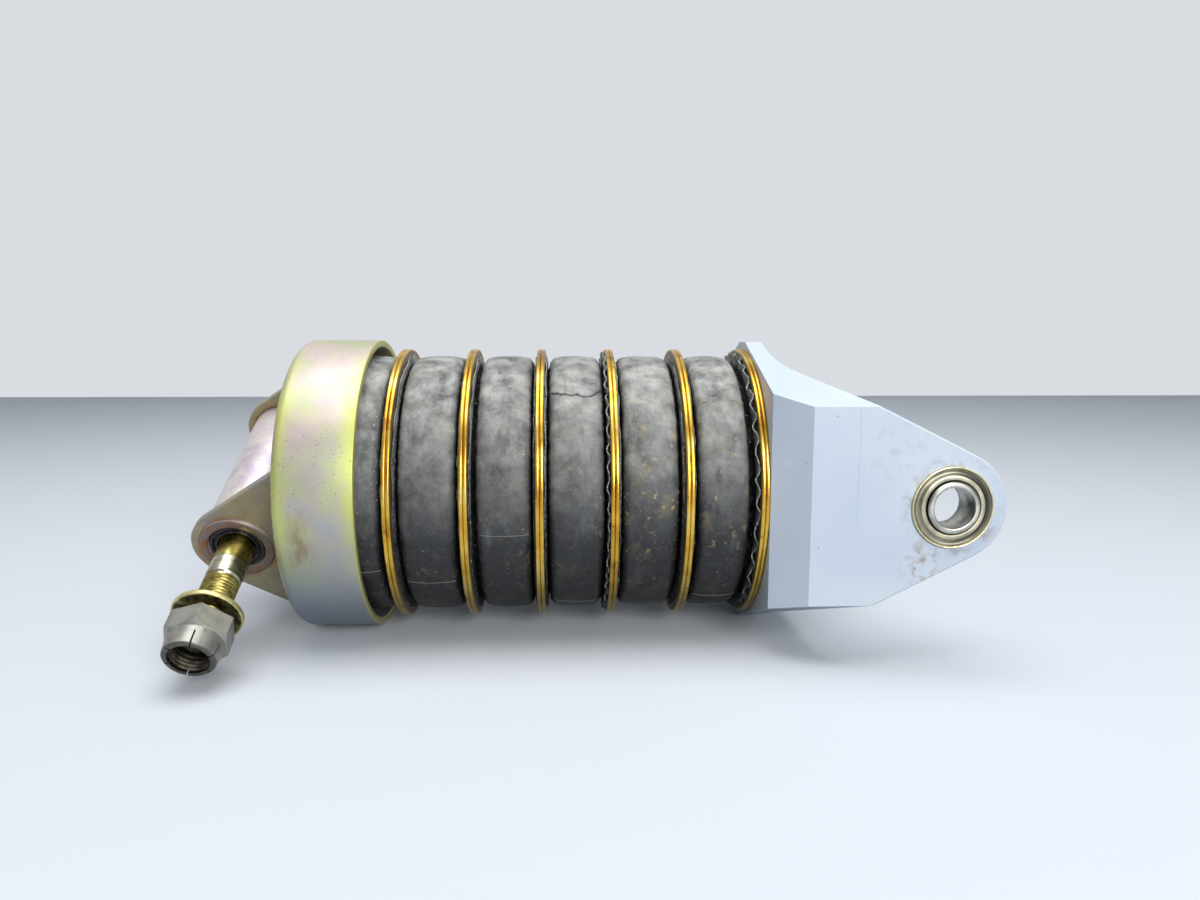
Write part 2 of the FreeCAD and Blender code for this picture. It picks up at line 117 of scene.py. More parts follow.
def packed_copy(node):
    """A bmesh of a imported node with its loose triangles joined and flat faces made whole."""
    shape = bmesh.new()
    shape.from_mesh(frame["nodes"][node].data)
    bmesh.ops.remove_doubles(shape, verts=shape.verts, dist=2e-6)
    bmesh.ops.dissolve_limit(
        shape, angle_limit=math.radians(0.5), verts=shape.verts, edges=shape.edges
    )
    bmesh.ops.recalc_face_normals(shape, faces=shape.faces)
    return shape


def finished(name, shape, material, body, smooth_below=35, flat_faces=False):
    """Makes an object of a bmesh, gives it its finish and sets it riding on its body."""
    mesh = bpy.data.meshes.new(name)
    shape.normal_update()
    shape.to_mesh(mesh)
    shape.free()
    mesh.materials.append(material)
    mesh.shade_smooth()
    mesh.set_sharp_from_angle(angle=math.radians(smooth_below))
    piece = bpy.data.objects.new(name, mesh)
    bpy.context.scene.collection.objects.link(piece)
    if flat_faces:
        weighted = piece.modifiers.new("shade by the larger face", "WEIGHTED_NORMAL")
        weighted.keep_sharp = True
    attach(piece, body)
    print(name, len(mesh.polygons), "faces on", body)
    return piece


# %% [markdown]
# The cross tube, bolt, washers and lock nut share an axis that crosses the strut and is
# turned with the cup. Each could be modelled in its slanted place, which makes every size
# hard to read. So each is made along X and laid on the axis that the bolt's joint gives.

# %% The bolt's axis
record_joints = frame["record"]["behaviour"]["joints"]
bolt_joint = next(joint for joint in record_joints if joint["name"] == "bolt_spin")
bolt_axis = -Vector(bolt_joint["axis"]).normalized()
bolt_centre = Vector(bolt_joint["pos_m"])
cup_turn = math.atan2(-bolt_axis.z, -bolt_axis.y)
on_bolt = (
    Matrix.Translation(bolt_centre)
    @ Matrix.Rotation(cup_turn, 4, "X")
    @ Matrix.Rotation(-math.pi / 2, 4, "Z")
)


def span_on_bolt(node):
    """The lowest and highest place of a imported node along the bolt's axis, in millimetres."""
    verts = frame["nodes"][node].data.vertices
    places = [(vert.co - bolt_centre).dot(bolt_axis) / MM for vert in verts]
    return min(places), max(places)


def laid(shape, matrix):
    """Moves a bmesh to where it belongs."""
    bmesh.ops.transform(shape, matrix=matrix, verts=shape.verts)
    return shape


tube_rear, tube_front = span_on_bolt("cross_tube")
bolt_low, bolt_high = span_on_bolt("clevis_bolt")
head_seat = span_on_bolt("bolt_head_washer")[0]
nut_low, nut_high = span_on_bolt("lock_nut")
bolt_thread_length = 24.5
thread_start = bolt_high - bolt_thread_length
washer_radius = 10.5
print("cup turned", round(math.degrees(cup_turn), 1), "degrees")
print("tube", round(tube_front - tube_rear, 2), "mm")

# %% [markdown]
# A real surface varies: its film drifts in tone, dirt gathers in places, edges wear. Image
# textures could hold that, but they need unwrapped meshes. Here every finish is a node
# tree on Object coordinates, so its patterns stay on a piece that moves, and each layer is
# a mask in millimetres with a colour laid over what is below.


# %% Colours and nodes
def linear(hex_colour):
    """An sRGB hex colour as the linear RGBA that the shader works in."""
    channels = [int(hex_colour[i:i + 2], 16) / 255 for i in (1, 3, 5)]
    return [c / 12.92 if c <= 0.04045 else ((c + 0.055) / 1.055) ** 2.4 for c in channels] + [1.0]


def add(tree, kind, settings=None, inputs=None):
    """Adds a node; inputs are values, or the output sockets that feed them."""
    node = tree.nodes.new("ShaderNode" + kind)
    for name, value in (settings or {}).items():
        if name == "stops":
            ramp = node.color_ramp.elements
            while len(ramp) < len(value):
                ramp.new(0.5)
            for element, (position, colour) in zip(ramp, value):
                element.position = position
                element.color = linear(colour)
        else:
            setattr(node, name, value)
    for key, value in (inputs or {}).items():
        if isinstance(value, bpy.types.NodeSocket):
            tree.links.new(value, node.inputs[key])
        else:
            node.inputs[key].default_value = value
    return node


MIX = {"data_type": "RGBA"}


def start_finish(name, slot, metallic, roughness, **sockets):
    """A new material with a Principled shader; returns it with its tree, shader and coordinates."""
    material = bpy.data.materials.new(name)
    material.use_nodes = True
    tree = material.node_tree
    tree.nodes.clear()
    output = tree.nodes.new("ShaderNodeOutputMaterial")
    values = {"Metallic": metallic, "Roughness": roughness}
    values.update(sockets)
    shader = add(tree, "BsdfPrincipled", None, values)
    tree.links.new(shader.outputs[0], output.inputs[0])
    place = add(tree, "TexCoord").outputs["Object"]
    return material, tree, shader, place


def patches(tree, place, size, low, high, detail=3.0, rough=0.55, seed=0.0):
    """A mask of cloudy patches of about the given size in millimetres."""
    cloud = add(tree, "TexNoise", {"noise_dimensions": "4D"}, {
        "Vector": place, "W": seed, "Scale": 1 / (size * MM), "Detail": detail, "Roughness": rough,
    })
    return add(tree, "MapRange", None, {
        "Value": cloud.outputs[0], "From Min": low, "From Max": high,
    }).outputs[0]


def specks(tree, place, spacing, radius):
    """A mask of small round specks, one at most per cell of the spacing in millimetres."""
    cells = add(tree, "TexVoronoi", None, {"Vector": place, "Scale": 1 / (spacing * MM)})
    return add(tree, "MapRange", None, {
        "Value": cells.outputs["Distance"],
        "From Min": radius / spacing,
        "From Max": 0.6 * radius / spacing,
    }).outputs[0]


def between(tree, value, low, high, soft):
    """A mask that is 1 where a place lies between two limits in millimetres, with soft ends."""
    rise = add(tree, "MapRange", None, {
        "Value": value, "From Min": (low - soft) * MM, "From Max": (low + soft) * MM,
    })
    fall = add(tree, "MapRange", None, {
        "Value": value, "From Min": (high + soft) * MM, "From Max": (high - soft) * MM,
    })
    return add(tree, "Math", {"operation": "MULTIPLY"}, {0: rise.outputs[0], 1: fall.outputs[0]}).outputs[0]


def both(tree, a, b, *more):
    """Masks multiplied together, or weakened by a number."""
    product = add(tree, "Math", {"operation": "MULTIPLY"}, {0: a, 1: b}).outputs[0]
    return both(tree, product, *more) if more else product


def along_and_off(tree, place, centre, axis):
    """How far a point lies along an axis, and how far off it, in metres."""
    arm = add(tree, "VectorMath", {"operation": "SUBTRACT"}, {0: place, 1: centre}).outputs[0]
    along = add(tree, "VectorMath", {"operation": "DOT_PRODUCT"}, {0: arm, 1: axis}).outputs["Value"]
    foot = add(tree, "VectorMath", {"operation": "SCALE"}, {0: axis, "Scale": along}).outputs[0]
    off = add(tree, "VectorMath", {"operation": "DISTANCE"}, {0: arm, 1: foot}).outputs["Value"]
    return along, off


def stretched(tree, place, scale):
    """Coordinates squeezed along some axes, so that a pattern on them runs out into streaks."""
    return add(tree, "Mapping", None, {"Vector": place, "Scale": scale}).outputs[0]


def over(tree, mask, below, above):
    """One colour laid over another through a mask; a colour is a socket or an sRGB hex."""
    below, above = [linear(colour) if isinstance(colour, str) else colour for colour in (below, above)]
    return add(tree, "Mix", MIX, {0: mask, 6: below, 7: above}).outputs[2]


def set_bump(tree, shader, height, depth, strength=1.0):
    """Raises the surface by a height mask; depth is in millimetres."""
    bump = add(tree, "Bump", None, {"Height": height, "Distance": depth * MM, "Strength": strength})
    tree.links.new(bump.outputs[0], shader.inputs["Normal"])


def drifting(tree, place, size, tone, detail=5.0):
    """A colour that drifts through a tone in clouds of a size in millimetres, and the cloud."""
    cloud = add(tree, "TexNoise", None, {
        "Vector": place, "Scale": 1 / (size * MM), "Detail": detail,
    }).outputs[0]
    return add(tree, "ValToRGB", {"stops": tone}, {0: cloud}).outputs[0], cloud


def hazed(tree, shader, cloud, smooth, rough):
    """A gloss that follows a cloud from smooth to rough."""
    haze = add(tree, "MapRange", None, {"Value": cloud, "To Min": smooth, "To Max": rough})
    tree.links.new(haze.outputs[0], shader.inputs["Roughness"])


def grained(tree, shader, place, size, depth, detail=2.0):
    """Fine grain in the surface; its size and depth are in millimetres."""
    grain = add(tree, "TexNoise", None, {"Vector": place, "Scale": 1 / (size * MM), "Detail": detail})
    set_bump(tree, shader, grain.outputs[0], depth)


print("helpers ready")

# %% [markdown]
# The fork bracket is machined aluminium, sprayed with a pale blue-grey epoxy enamel. One
# plain blue would look like plastic. A slow drift in tone, a satin gloss and a faint
# orange-peel ripple say paint. Ticks, brown grease by the bearing, a smudge below it and
# a thin scribed line, each masked to its own place, say that the part has been handled.


# %% Enamel on the fork bracket
def sprayed_enamel():
    material, tree, shader, place = start_finish("sprayed_epoxy_enamel", "bracket_paint", 0.0, 0.42)
    axes = add(tree, "SeparateXYZ", None, {0: place})
    across, up = axes.outputs["X"], axes.outputs["Z"]
    cloud = patches(tree, place, 45, 0.35, 0.7)
    colour = over(tree, cloud, "#B9C5D6", "#C8D1DB")
    rubbed = patches(tree, place, 9, 0.62, 0.74, detail=6, seed=1)
    colour = over(tree, both(tree, rubbed, 0.3), colour, "#D8DCDE")
    faint = both(tree, between(tree, across, -26, -10, 5), between(tree, up, 6, 28, 6))
    faint = both(tree, faint, patches(tree, place, 4, 0.52, 0.68, detail=6, seed=2), 0.3)
    colour = over(tree, faint, colour, "#9A8468")
    reach = along_and_off(tree, place, (0, 0, 0), (0, 1, 0))[1]
    grease = between(tree, reach, 12.0, 15.0, 1.6)
    grease = both(tree, grease, patches(tree, place, 5, 0.5, 0.62, detail=5, seed=3), 0.6)
    colour = over(tree, grease, colour, "#7D7058")
    low_corner = both(tree, between(tree, across, -14, -4, 2.5), between(tree, up, -23, -12, 3))
    smudge = both(tree, low_corner, patches(tree, place, 3.5, 0.5, 0.6, detail=7, seed=4), 0.65)
    colour = over(tree, smudge, colour, "#8A7558")
    slanted = add(tree, "Mapping", None, {
        "Vector": place, "Rotation": (0, 0.6, 0), "Scale": (1, 1, 0.22),
    }).outputs[0]
    ticks = both(tree, specks(tree, slanted, 4.5, 0.22), patches(tree, place, 20, 0.53, 0.56, seed=5), 0.6)
    colour = over(tree, ticks, colour, "#66615C")
    dots = both(tree, specks(tree, place, 6.0, 0.3), patches(tree, place, 16, 0.52, 0.56, seed=6), 0.8)
    colour = over(tree, dots, colour, "#4E4A46")
    wander = add(tree, "TexNoise", None, {"Vector": place, "Scale": 1 / (14 * MM)}).outputs[0]
    drift = add(tree, "Math", {"operation": "MULTIPLY_ADD"}, {0: wander, 1: 1.2 * MM, 2: across}).outputs[0]
    scribed = both(tree, between(tree, drift, -28.9, -28.75, 0.12), between(tree, up, -6, 32, 3), 0.45)
    colour = over(tree, scribed, colour, "#7F8C9E")
    tree.links.new(colour, shader.inputs["Base Color"])
    hazed(tree, shader, cloud, 0.38, 0.5)
    grained(tree, shader, place, 1.1, 0.02)
    return material


enamel = sprayed_enamel()
print(enamel.name, len(enamel.node_tree.nodes), "nodes")

# %% [markdown]
# The cup, ears and cross tube are steel, plated with cadmium and dipped in a chromate bath.
# The film is thin enough to show interference colours. A thin-film shader would shift them
# with every view, and here they have to stay in place. So they are painted: yellow-green
# near the edges, with pink and blue clouds between, over a satin half-metal.


# %% Chromated cadmium on the cup
def clouded_chromate(name, metallic, tone, size=26):
    """Chromate film whose tone drifts in clouds; returns the material's parts and its colour."""
    material, tree, shader, place = start_finish(name, "cadmium_chromate", metallic, 0.42)
    cloud = add(tree, "TexNoise", None, {
        "Vector": place, "Scale": 1 / (size * MM), "Detail": 4.0, "Roughness": 0.6, "Distortion": 0.4,
    }).outputs[0]
    colour = add(tree, "ValToRGB", {"stops": tone}, {0: cloud}).outputs[0]
    hazed(tree, shader, cloud, 0.36, 0.52)
    grained(tree, shader, place, 0.5, 0.012, 3.0)
    return material, tree, shader, place, colour


def cup_chromate():
    """Yellow-green near both rims, pinkish above, a painted blue-grey shade below, pitted and stained in
    front.
    """
    tone = [(0.3, "#AAB488"), (0.45, "#B5BB92"), (0.56, "#B3AFA6"), (0.68, "#9CA6B2")]
    material, tree, shader, place, colour = clouded_chromate("chromated_cadmium_cup", 0.55, tone)
    axes = add(tree, "SeparateXYZ", None, {0: place})
    across, up = axes.outputs["X"], axes.outputs["Z"]
    pink = both(tree, between(tree, up, 16, 60, 10), patches(tree, place, 15, 0.4, 0.6, seed=1), 0.75)
    colour = over(tree, pink, colour, "#CDBAB4")
    lilac = both(tree, patches(tree, place, 11, 0.52, 0.64, seed=2), 0.5)
    colour = over(tree, lilac, colour, "#B3A3AC")
    # Painted shade: the cup turns a darker blue-grey towards its bottom.
    low = both(tree, between(tree, up, -60, -20, 16), 0.8)
    colour = over(tree, low, colour, "#7F8C9B")
    back = between(tree, across, cup_back - 2, cup_back + 4.5, 2.2)
    front = between(tree, across, cup_rim - 4.0, cup_rim + 2, 2.2)
    edge = add(tree, "Math", {"operation": "MAXIMUM"}, {0: back, 1: front}).outputs[0]
    broken = patches(tree, place, 14, 0.3, 0.5, seed=3)
    edge = both(tree, edge, between(tree, up, -14, 42, 12), broken, 0.85)
    colour = over(tree, edge, colour, "#C2C96C")
    lip = both(tree, between(tree, across, cup_rim - 0.5, cup_rim + 2, 0.25), 0.8)
    colour = over(tree, lip, colour, "#B9B766")
    streaks = stretched(tree, place, (1, 1, 0.35))
    stained = between(tree, across, cup_back + 6, cup_back + 12, 2)
    stained = both(tree, stained, between(tree, up, -20, -3, 4))
    stained = both(tree, stained, patches(tree, streaks, 3.5, 0.4, 0.58, detail=6, seed=4), 0.7)
    colour = over(tree, stained, colour, "#8E7355")
    worn = between(tree, across, cup_back - 2, cup_back + 1.1, 0.7)
    worn = both(tree, worn, patches(tree, place, 6, 0.4, 0.55, seed=5), 0.7)
    colour = over(tree, worn, colour, "#A59C8C")
    pitted = both(tree, between(tree, up, -2, 24, 5), patches(tree, place, 6, 0.4, 0.5, seed=6))
    pits = both(tree, specks(tree, place, 1.3, 0.22), pitted, 0.85)
    colour = over(tree, pits, colour, "#4A4228")
    spots = both(tree, specks(tree, place, 4.5, 0.3), patches(tree, place, 18, 0.5, 0.56, seed=7), 0.8)
    colour = over(tree, spots, colour, "#5B5240")
    tree.links.new(colour, shader.inputs["Base Color"])
    return material


def ear_chromate():
    """A duller olive film, with an orange glow where the tube was brazed in."""
    tone = [(0.3, "#918A6C"), (0.45, "#A39C7E"), (0.56, "#9C917E"), (0.68, "#8E9294")]
    material, tree, shader, place, colour = clouded_chromate("chromated_cadmium_ears", 0.6, tone, 16)
    off = along_and_off(tree, place, bolt_centre, bolt_axis)[1]
    glow = both(tree, between(tree, off, 9, 13.4, 1.2), patches(tree, place, 9, 0.44, 0.56, seed=1), 0.75)
    colour = over(tree, glow, colour, "#A8702C")
    dark = both(tree, patches(tree, place, 3, 0.6, 0.7, detail=6, seed=2), 0.45)
    colour = over(tree, dark, colour, "#554E40")
    tree.links.new(colour, shader.inputs["Base Color"])
    return material


def tube_chromate():
    """Pale pinkish silver along the tube, and a rubbed purple-brown ring at each end."""
    tone = [(0.3, "#D3C4BD"), (0.45, "#D8D0CC"), (0.56, "#C3B6C2"), (0.68, "#B3BBCB")]
    material, tree, shader, place, colour = clouded_chromate("chromated_cadmium_tube", 0.6, tone, 12)
    along, off = along_and_off(tree, place, bolt_centre, bolt_axis)
    far = add(tree, "Math", {"operation": "ABSOLUTE"}, {0: along}).outputs[0]
    end_face = between(tree, far, tube_front - 0.35, tube_front + 2, 0.12)
    colour = over(tree, both(tree, end_face, 0.95), colour, "#7A6A62")
    rust = both(tree, end_face, patches(tree, place, 5, 0.5, 0.62, detail=5, seed=1), 0.8)
    colour = over(tree, rust, colour, "#8E5A2E")
    grime = both(tree, patches(tree, place, 2.5, 0.62, 0.72, detail=6, seed=2), 0.5)
    colour = over(tree, grime, colour, "#6D6660")
    tree.links.new(colour, shader.inputs["Base Color"])
    return material


cup_plating = cup_chromate()
ear_plating = ear_chromate()
tube_plating = tube_chromate()
print("three chromate finishes")

# %% [markdown]
# The bonded plates are steel with a heavier gold dichromate: smoother and more yellow than
# the cup. Brass would give the colour but not the brown rubs or the dull faces beside the
# rubber, so one metal carries a gold rim and fades to residue inside the plate's edge.


# %% Gold dichromate on the plates
def gold_dichromate():
    """Gold on the rim, which is all that shows of a plate; its flat faces are dull with residue."""
    material, tree, shader, place = start_finish("gold_dichromate_plate", "gold_dichromate", 1.0, 0.3)
    tone = [(0.3, "#AE8030"), (0.45, "#CC9F3C"), (0.58, "#DDB850"), (0.72, "#E6CF86")]
    colour, cloud = drifting(tree, place, 11, tone)
    axes = add(tree, "SeparateXYZ", None, {0: place})
    # Painted shade: each plate's rim turns a darker olive-brown towards the bottom.
    low = both(tree, between(tree, axes.outputs["Z"], -60, -27, 12), 0.75)
    colour = over(tree, low, colour, "#94874E")
    rubbed = both(tree, patches(tree, place, 3.5, 0.58, 0.66, detail=5, seed=1), 0.6)
    colour = over(tree, rubbed, colour, "#8A5226")
    off = along_and_off(tree, place, (0, 0, 0), (1, 0, 0))[1]
    face = between(tree, off, 0, plate_radius - 0.5, 0.15)
    colour = over(tree, both(tree, face, 0.9), colour, "#7D7468")
    tree.links.new(colour, shader.inputs["Base Color"])
    rough = add(tree, "MapRange", None, {"Value": cloud, "To Min": 0.2, "To Max": 0.4})
    dull = add(tree, "Math", {"operation": "MULTIPLY_ADD"}, {0: face, 1: 0.25, 2: rough.outputs[0]})
    tree.links.new(dull.outputs[0], shader.inputs["Roughness"])
    return material


gold_plating = gold_dichromate()
print(gold_plating.name)

# %% [markdown]
# Six discs stand at one pitch with two plates between each pair. Finishes and shapes both
# need that pitch. It could be typed again, but measuring it keeps it true to the solids.

# %% The stack's spacing
first_rubber = span("rubber_disc_1")
second_rubber = span("rubber_disc_2")
disc_pitch = second_rubber[0] - first_rubber[0]
rubber_height = first_rubber[1] - first_rubber[0]
disc_numbers = range(1, 7)
print("pitch", round(disc_pitch, 2), "mm, rubber", round(rubber_height, 2), "mm")

# %% [markdown]
# The discs are black moulded rubber that has bloomed and gathered dust. A dark matte shader
# alone gives a hole in the picture. Ochre soil and pale crumbs beside the plates give the skin
# its age. Paleness that grows with height is part dust and part a painted sheen of light from
# above; the nearly black underside and grooves are painted shade. The pale lips and mould
# line come from an attribute on the mesh, because they follow geometry.


# %% Dusty moulded rubber
rubber_radius = outer_radius("rubber_disc_2")


def dusty_rubber(name, crack=None):
    """Moulded rubber; crack is (x from, x to, z) in mm of a split in the skin on the front."""
    material, tree, shader, place = start_finish(name, "moulded_rubber", 0.0, 0.55)
    axes = add(tree, "SeparateXYZ", None, {0: place})
    across, up = axes.outputs["X"], axes.outputs["Z"]
    round_the_disc = stretched(tree, place, (1, 0.3, 0.3))
    cloud = patches(tree, place, 18, 0.35, 0.68, detail=6, rough=0.62)
    colour = over(tree, cloud, "#16181C", "#2F3136")
    # Painted sheen and dust: the skin grows paler with height, part real dust and part painted light from
    # above.
    height = add(tree, "MapRange", None, {"Value": up, "From Min": -14 * MM, "From Max": 38 * MM})
    broken = patches(tree, place, 7, 0.3, 0.66, detail=8, rough=0.7, seed=1)
    dust_and_sheen = both(tree, height.outputs[0], broken, 0.88)
    colour = over(tree, dust_and_sheen, colour, "#B4B6B1")
    smeared = both(tree, patches(tree, round_the_disc, 4, 0.55, 0.7, detail=5, seed=2), 0.6)
    colour = over(tree, smeared, colour, "#18191C")
    bloom = both(tree, patches(tree, round_the_disc, 6, 0.58, 0.72, detail=7, seed=3), 0.4)
    colour = over(tree, bloom, colour, "#7B7E80")
    mottle = both(tree, patches(tree, place, 1.4, 0.52, 0.72, detail=5, seed=4), 0.3)
    colour = over(tree, mottle, colour, "#6A6A64")
    # Painted shade: the underside of each disc turns nearly black.
    painted_underside_shade = both(tree, between(tree, up, -60, -24, 14), 0.85)
    colour = over(tree, painted_underside_shade, colour, "#0B0D10")
    muddy = both(tree, between(tree, across, -104, -62, 8), between(tree, up, -12, 26, 10))
    muddy = add(tree, "Math", {"operation": "MULTIPLY_ADD"}, {0: muddy, 1: 0.75, 2: 0.25}).outputs[0]
    stain = both(tree, muddy, patches(tree, place, 7, 0.54, 0.66, detail=6, seed=5), 0.5)
    colour = over(tree, stain, colour, "#7C7358")
    soil = patches(tree, place, 1.7, 0.58, 0.66, detail=4, seed=6)
    soil = both(tree, soil, patches(tree, place, 9, 0.48, 0.56, seed=7))
    colour = over(tree, both(tree, soil, muddy, 0.9), colour, "#A48F5C")
    shifted = add(tree, "Math", {"operation": "SUBTRACT"}, {0: across, 1: first_rubber[0] * MM}).outputs[0]
    repeat = add(tree, "Math", {"operation": "WRAP"}, {0: shifted, 1: disc_pitch * MM, 2: 0.0}).outputs[0]
    middle = between(tree, repeat, 3.2, rubber_height - 3.2, 1.0)
    beside = add(tree, "Math", {"operation": "SUBTRACT"}, {0: 1.0, 1: middle}).outputs[0]
    off = along_and_off(tree, place, (0, 0, 0), (1, 0, 0))[1]
    # Painted shade: the grooves beside the plates are made nearly black.
    groove = between(tree, off, 0, rubber_radius - 2.4, 0.9)
    colour = over(tree, groove, colour, "#070708")
    pale = add(tree, "Attribute", {"attribute_name": "paler"}).outputs["Fac"]
    colour = over(tree, both(tree, pale, 0.8), colour, "#8F9492")
    crumbs = specks(tree, place, 1.5, 0.24)
    crumbs = both(tree, crumbs, patches(tree, place, 10, 0.46, 0.54, seed=8), beside)
    colour = over(tree, crumbs, colour, "#D8D2C2")
    scattered = specks(tree, place, 3.6, 0.26)
    scattered = both(tree, scattered, patches(tree, place, 12, 0.48, 0.54, seed=9), 0.85)
    colour = over(tree, scattered, colour, "#BDB7A6")
    if crack:
        start, end, level = crack
        wander = add(tree, "TexNoise", None, {"Vector": place, "Scale": 1 / (7 * MM), "Detail": 3.0})
        drift = add(tree, "Math", {"operation": "MULTIPLY_ADD"}, {0: wander.outputs[0], 1: 5 * MM, 2: up})
        split = between(tree, drift.outputs[0], level + 2.25, level + 2.75, 0.16)
        in_front = between(tree, axes.outputs["Y"], -60, -5, 1)
        split = both(tree, split, between(tree, across, start, end, 1.2), in_front)
        colour = over(tree, split, colour, "#0B0B0C")
    tree.links.new(colour, shader.inputs["Base Color"])
    hazed(tree, shader, cloud, 0.44, 0.6)
    skin = patches(tree, place, 2.2, 0.3, 0.7, detail=6, seed=10)
    set_bump(tree, shader, skin, 0.1)
    return material


rubber = dusty_rubber("dusty_moulded_rubber")
cracked_rubber = dusty_rubber("dusty_moulded_rubber_split", (-125.5, -104.0, 33.2))
print("two rubbers")

# %% [markdown]
# The small pieces are ground, turned, plated or bronze. One grey metal would make them all
# alike, so a shared function drifts tone and gloss, and each finish has its own colours:
# - turned steel: cool and bright, on the hidden rod and pin
# - olive thread and head: chromate darkened in the thread, rubbed paler on the flats
# - dull cadmium: flat light grey; nut thread: nearly black, painted shade inside the nut's collar
# - bronze: warm brown, oiled, on the bushes
# The shank, bearing, nut, washer and seal wear in known places, so each has its own tree.


# %% Steel, bolt and bronze finishes
def metal(name, slot, tone, roughness, patch=6.0, grain=0.4, depth=0.01):
    """A bare or plated metal whose colour and gloss vary in patches of a size in millimetres."""
    material, tree, shader, place = start_finish(name, slot, 1.0, roughness)
    colour, cloud = drifting(tree, place, patch, tone)
    tree.links.new(colour, shader.inputs["Base Color"])
    hazed(tree, shader, cloud, roughness - 0.08, roughness + 0.12)
    grained(tree, shader, place, grain, depth)
    return material


turned_steel = metal("turned_steel", "machined_steel", [(0.35, "#96979A"), (0.6, "#B9BABD")], 0.32)
thread_steel = metal("olive_thread_steel", "bolt_olive", [(0.35, "#6F6431"), (0.6, "#AFA05C")], 0.38, 3.0)
head_olive = metal("olive_chromated_head", "bolt_olive", [(0.35, "#857A48"), (0.6, "#B5A972")], 0.38)
dull_cadmium = metal(
    "dull_cadmium", "nut_cadmium", [(0.35, "#83837E"), (0.6, "#989790")], 0.5, 7.0, 0.3, 0.02,
)
# Painted shade: the nut's thread deep in the collar is made nearly black.
shaded_nut_thread = metal("shaded_nut_thread_steel", "nut_cadmium", [(0.35, "#3F3B34"), (0.6, "#6E675A")], 0.6, 2.0)
bronze = metal("oiled_bearing_bronze", "bronze", [(0.35, "#6B4C2A"), (0.6, "#A67B43")], 0.4)


def worn_shank():
    """Olive where the seal rubs, then polished bright, with thin dark rings of wear."""
    material, tree, shader, place = start_finish("worn_bolt_shank_steel", "bolt_olive", 1.0, 0.26)
    along = along_and_off(tree, place, bolt_centre, bolt_axis)[0]
    olive, cloud = drifting(tree, place, 4, [(0.35, "#9A8E4C"), (0.6, "#C4B868")])
    bright = add(tree, "ValToRGB", {"stops": [(0.35, "#B4AF98"), (0.6, "#D2CFBE")]}, {0: cloud}).outputs[0]
    wear_ring = tube_front + 7.6
    colour = over(tree, between(tree, along, wear_ring, 90, 0.5), olive, bright)
    for ring in (tube_front + 1.4, wear_ring, thread_start - 1.1):
        groove = both(tree, between(tree, along, ring - 0.16, ring + 0.16, 0.12), 0.8)
        colour = over(tree, groove, colour, "#3A3422")
    fine = add(tree, "TexNoise", {"noise_dimensions": "1D"}, {"W": along, "Scale": 1 / (0.5 * MM)})
    marks = add(tree, "MapRange", None, {"Value": fine.outputs[0], "From Min": 0.56, "From Max": 0.66})
    colour = over(tree, both(tree, marks.outputs[0], 0.5), colour, "#857C5C")
    tree.links.new(colour, shader.inputs["Base Color"])
    hazed(tree, shader, cloud, 0.2, 0.36)
    return material


def bearing_finish(name, tone, roughness, gap):
    """Ground steel gone yellowish, painted shade in the groove and the gap, a painted highlight on the rim.
    """
    material, tree, shader, place = start_finish(name, "bearing_steel", 0.9, roughness)
    off = along_and_off(tree, place, (0, 0, 0), (0, 1, 0))[1]
    colour, cloud = drifting(tree, place, 5, tone)
    across = add(tree, "SeparateXYZ", None, {0: place}).outputs["X"]
    # Painted shade: the groove in the ring's face is darkened, more on its right side.
    shaded_side = add(tree, "MapRange", None, {
        "Value": across, "From Min": -9 * MM, "From Max": 8 * MM, "To Min": 0.35, "To Max": 1.0,
    }).outputs[0]
    grime = both(tree, between(tree, off, 10.2, 11.8, 0.3), shaded_side, 0.95)
    colour = over(tree, grime, colour, "#3A3934")
    # Painted highlight: a pale band round the outer ring's rim.
    rim = both(tree, between(tree, off, 12.1, 13.5, 0.15), 0.7)
    colour = over(tree, rim, colour, "#D8D2A2")
    # Painted shade: a black line in the gap where ring meets ball.
    gap_shade = between(tree, off, gap - 0.3, gap + 0.3, 0.12)
    colour = over(tree, gap_shade, colour, "#0D0C0A")
    brown = both(tree, between(tree, off, 0, 6.55, 0.1), patches(tree, place, 5, 0.4, 0.6, seed=1), 0.7)
    colour = over(tree, brown, colour, "#4E4030")
    tree.links.new(colour, shader.inputs["Base Color"])
    hazed(tree, shader, cloud, roughness - 0.06, roughness + 0.14)
    return material


race_low, race_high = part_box("bearing_race_front")
race_half_width = (race_high[1] - race_low[1]) / 2 / MM
ball_radius = outer_radius("bearing_ball_front")
gap_radius = math.sqrt(ball_radius ** 2 - race_half_width ** 2)
race_steel = bearing_finish("ground_bearing_steel", [(0.35, "#9A9482"), (0.6, "#C0BAA4")], 0.34, gap_radius)
ball_steel = bearing_finish("polished_ball_steel", [(0.35, "#9FA098"), (0.6, "#C2C2B6")], 0.28, gap_radius)


def nut_cadmium():
    """Dull grey plating, a little soiled, soot on the collar's open end, and painted shade in the bore."""
    material, tree, shader, place = start_finish("dull_cadmium_nut", "nut_cadmium", 0.85, 0.46)
    along, off = along_and_off(tree, place, bolt_centre, bolt_axis)
    colour, cloud = drifting(tree, place, 5, [(0.35, "#8B8B86"), (0.6, "#A5A49C")], 6.0)
    soiled = both(tree, patches(tree, place, 2.2, 0.6, 0.7, detail=6, seed=1), 0.5)
    colour = over(tree, soiled, colour, "#5C574C")
    open_end = between(tree, along, nut_high - 0.45, nut_high + 2, 0.12)
    colour = over(tree, both(tree, open_end, 0.75), colour, "#3F3D39")
    # Painted shade: the bore is darkened.
    bore = between(tree, off, 0, 6.1, 0.12)
    colour = over(tree, bore, colour, "#2C2924")
    tree.links.new(colour, shader.inputs["Base Color"])
    hazed(tree, shader, cloud, 0.4, 0.55)
    grained(tree, shader, place, 0.35, 0.02)
    return material


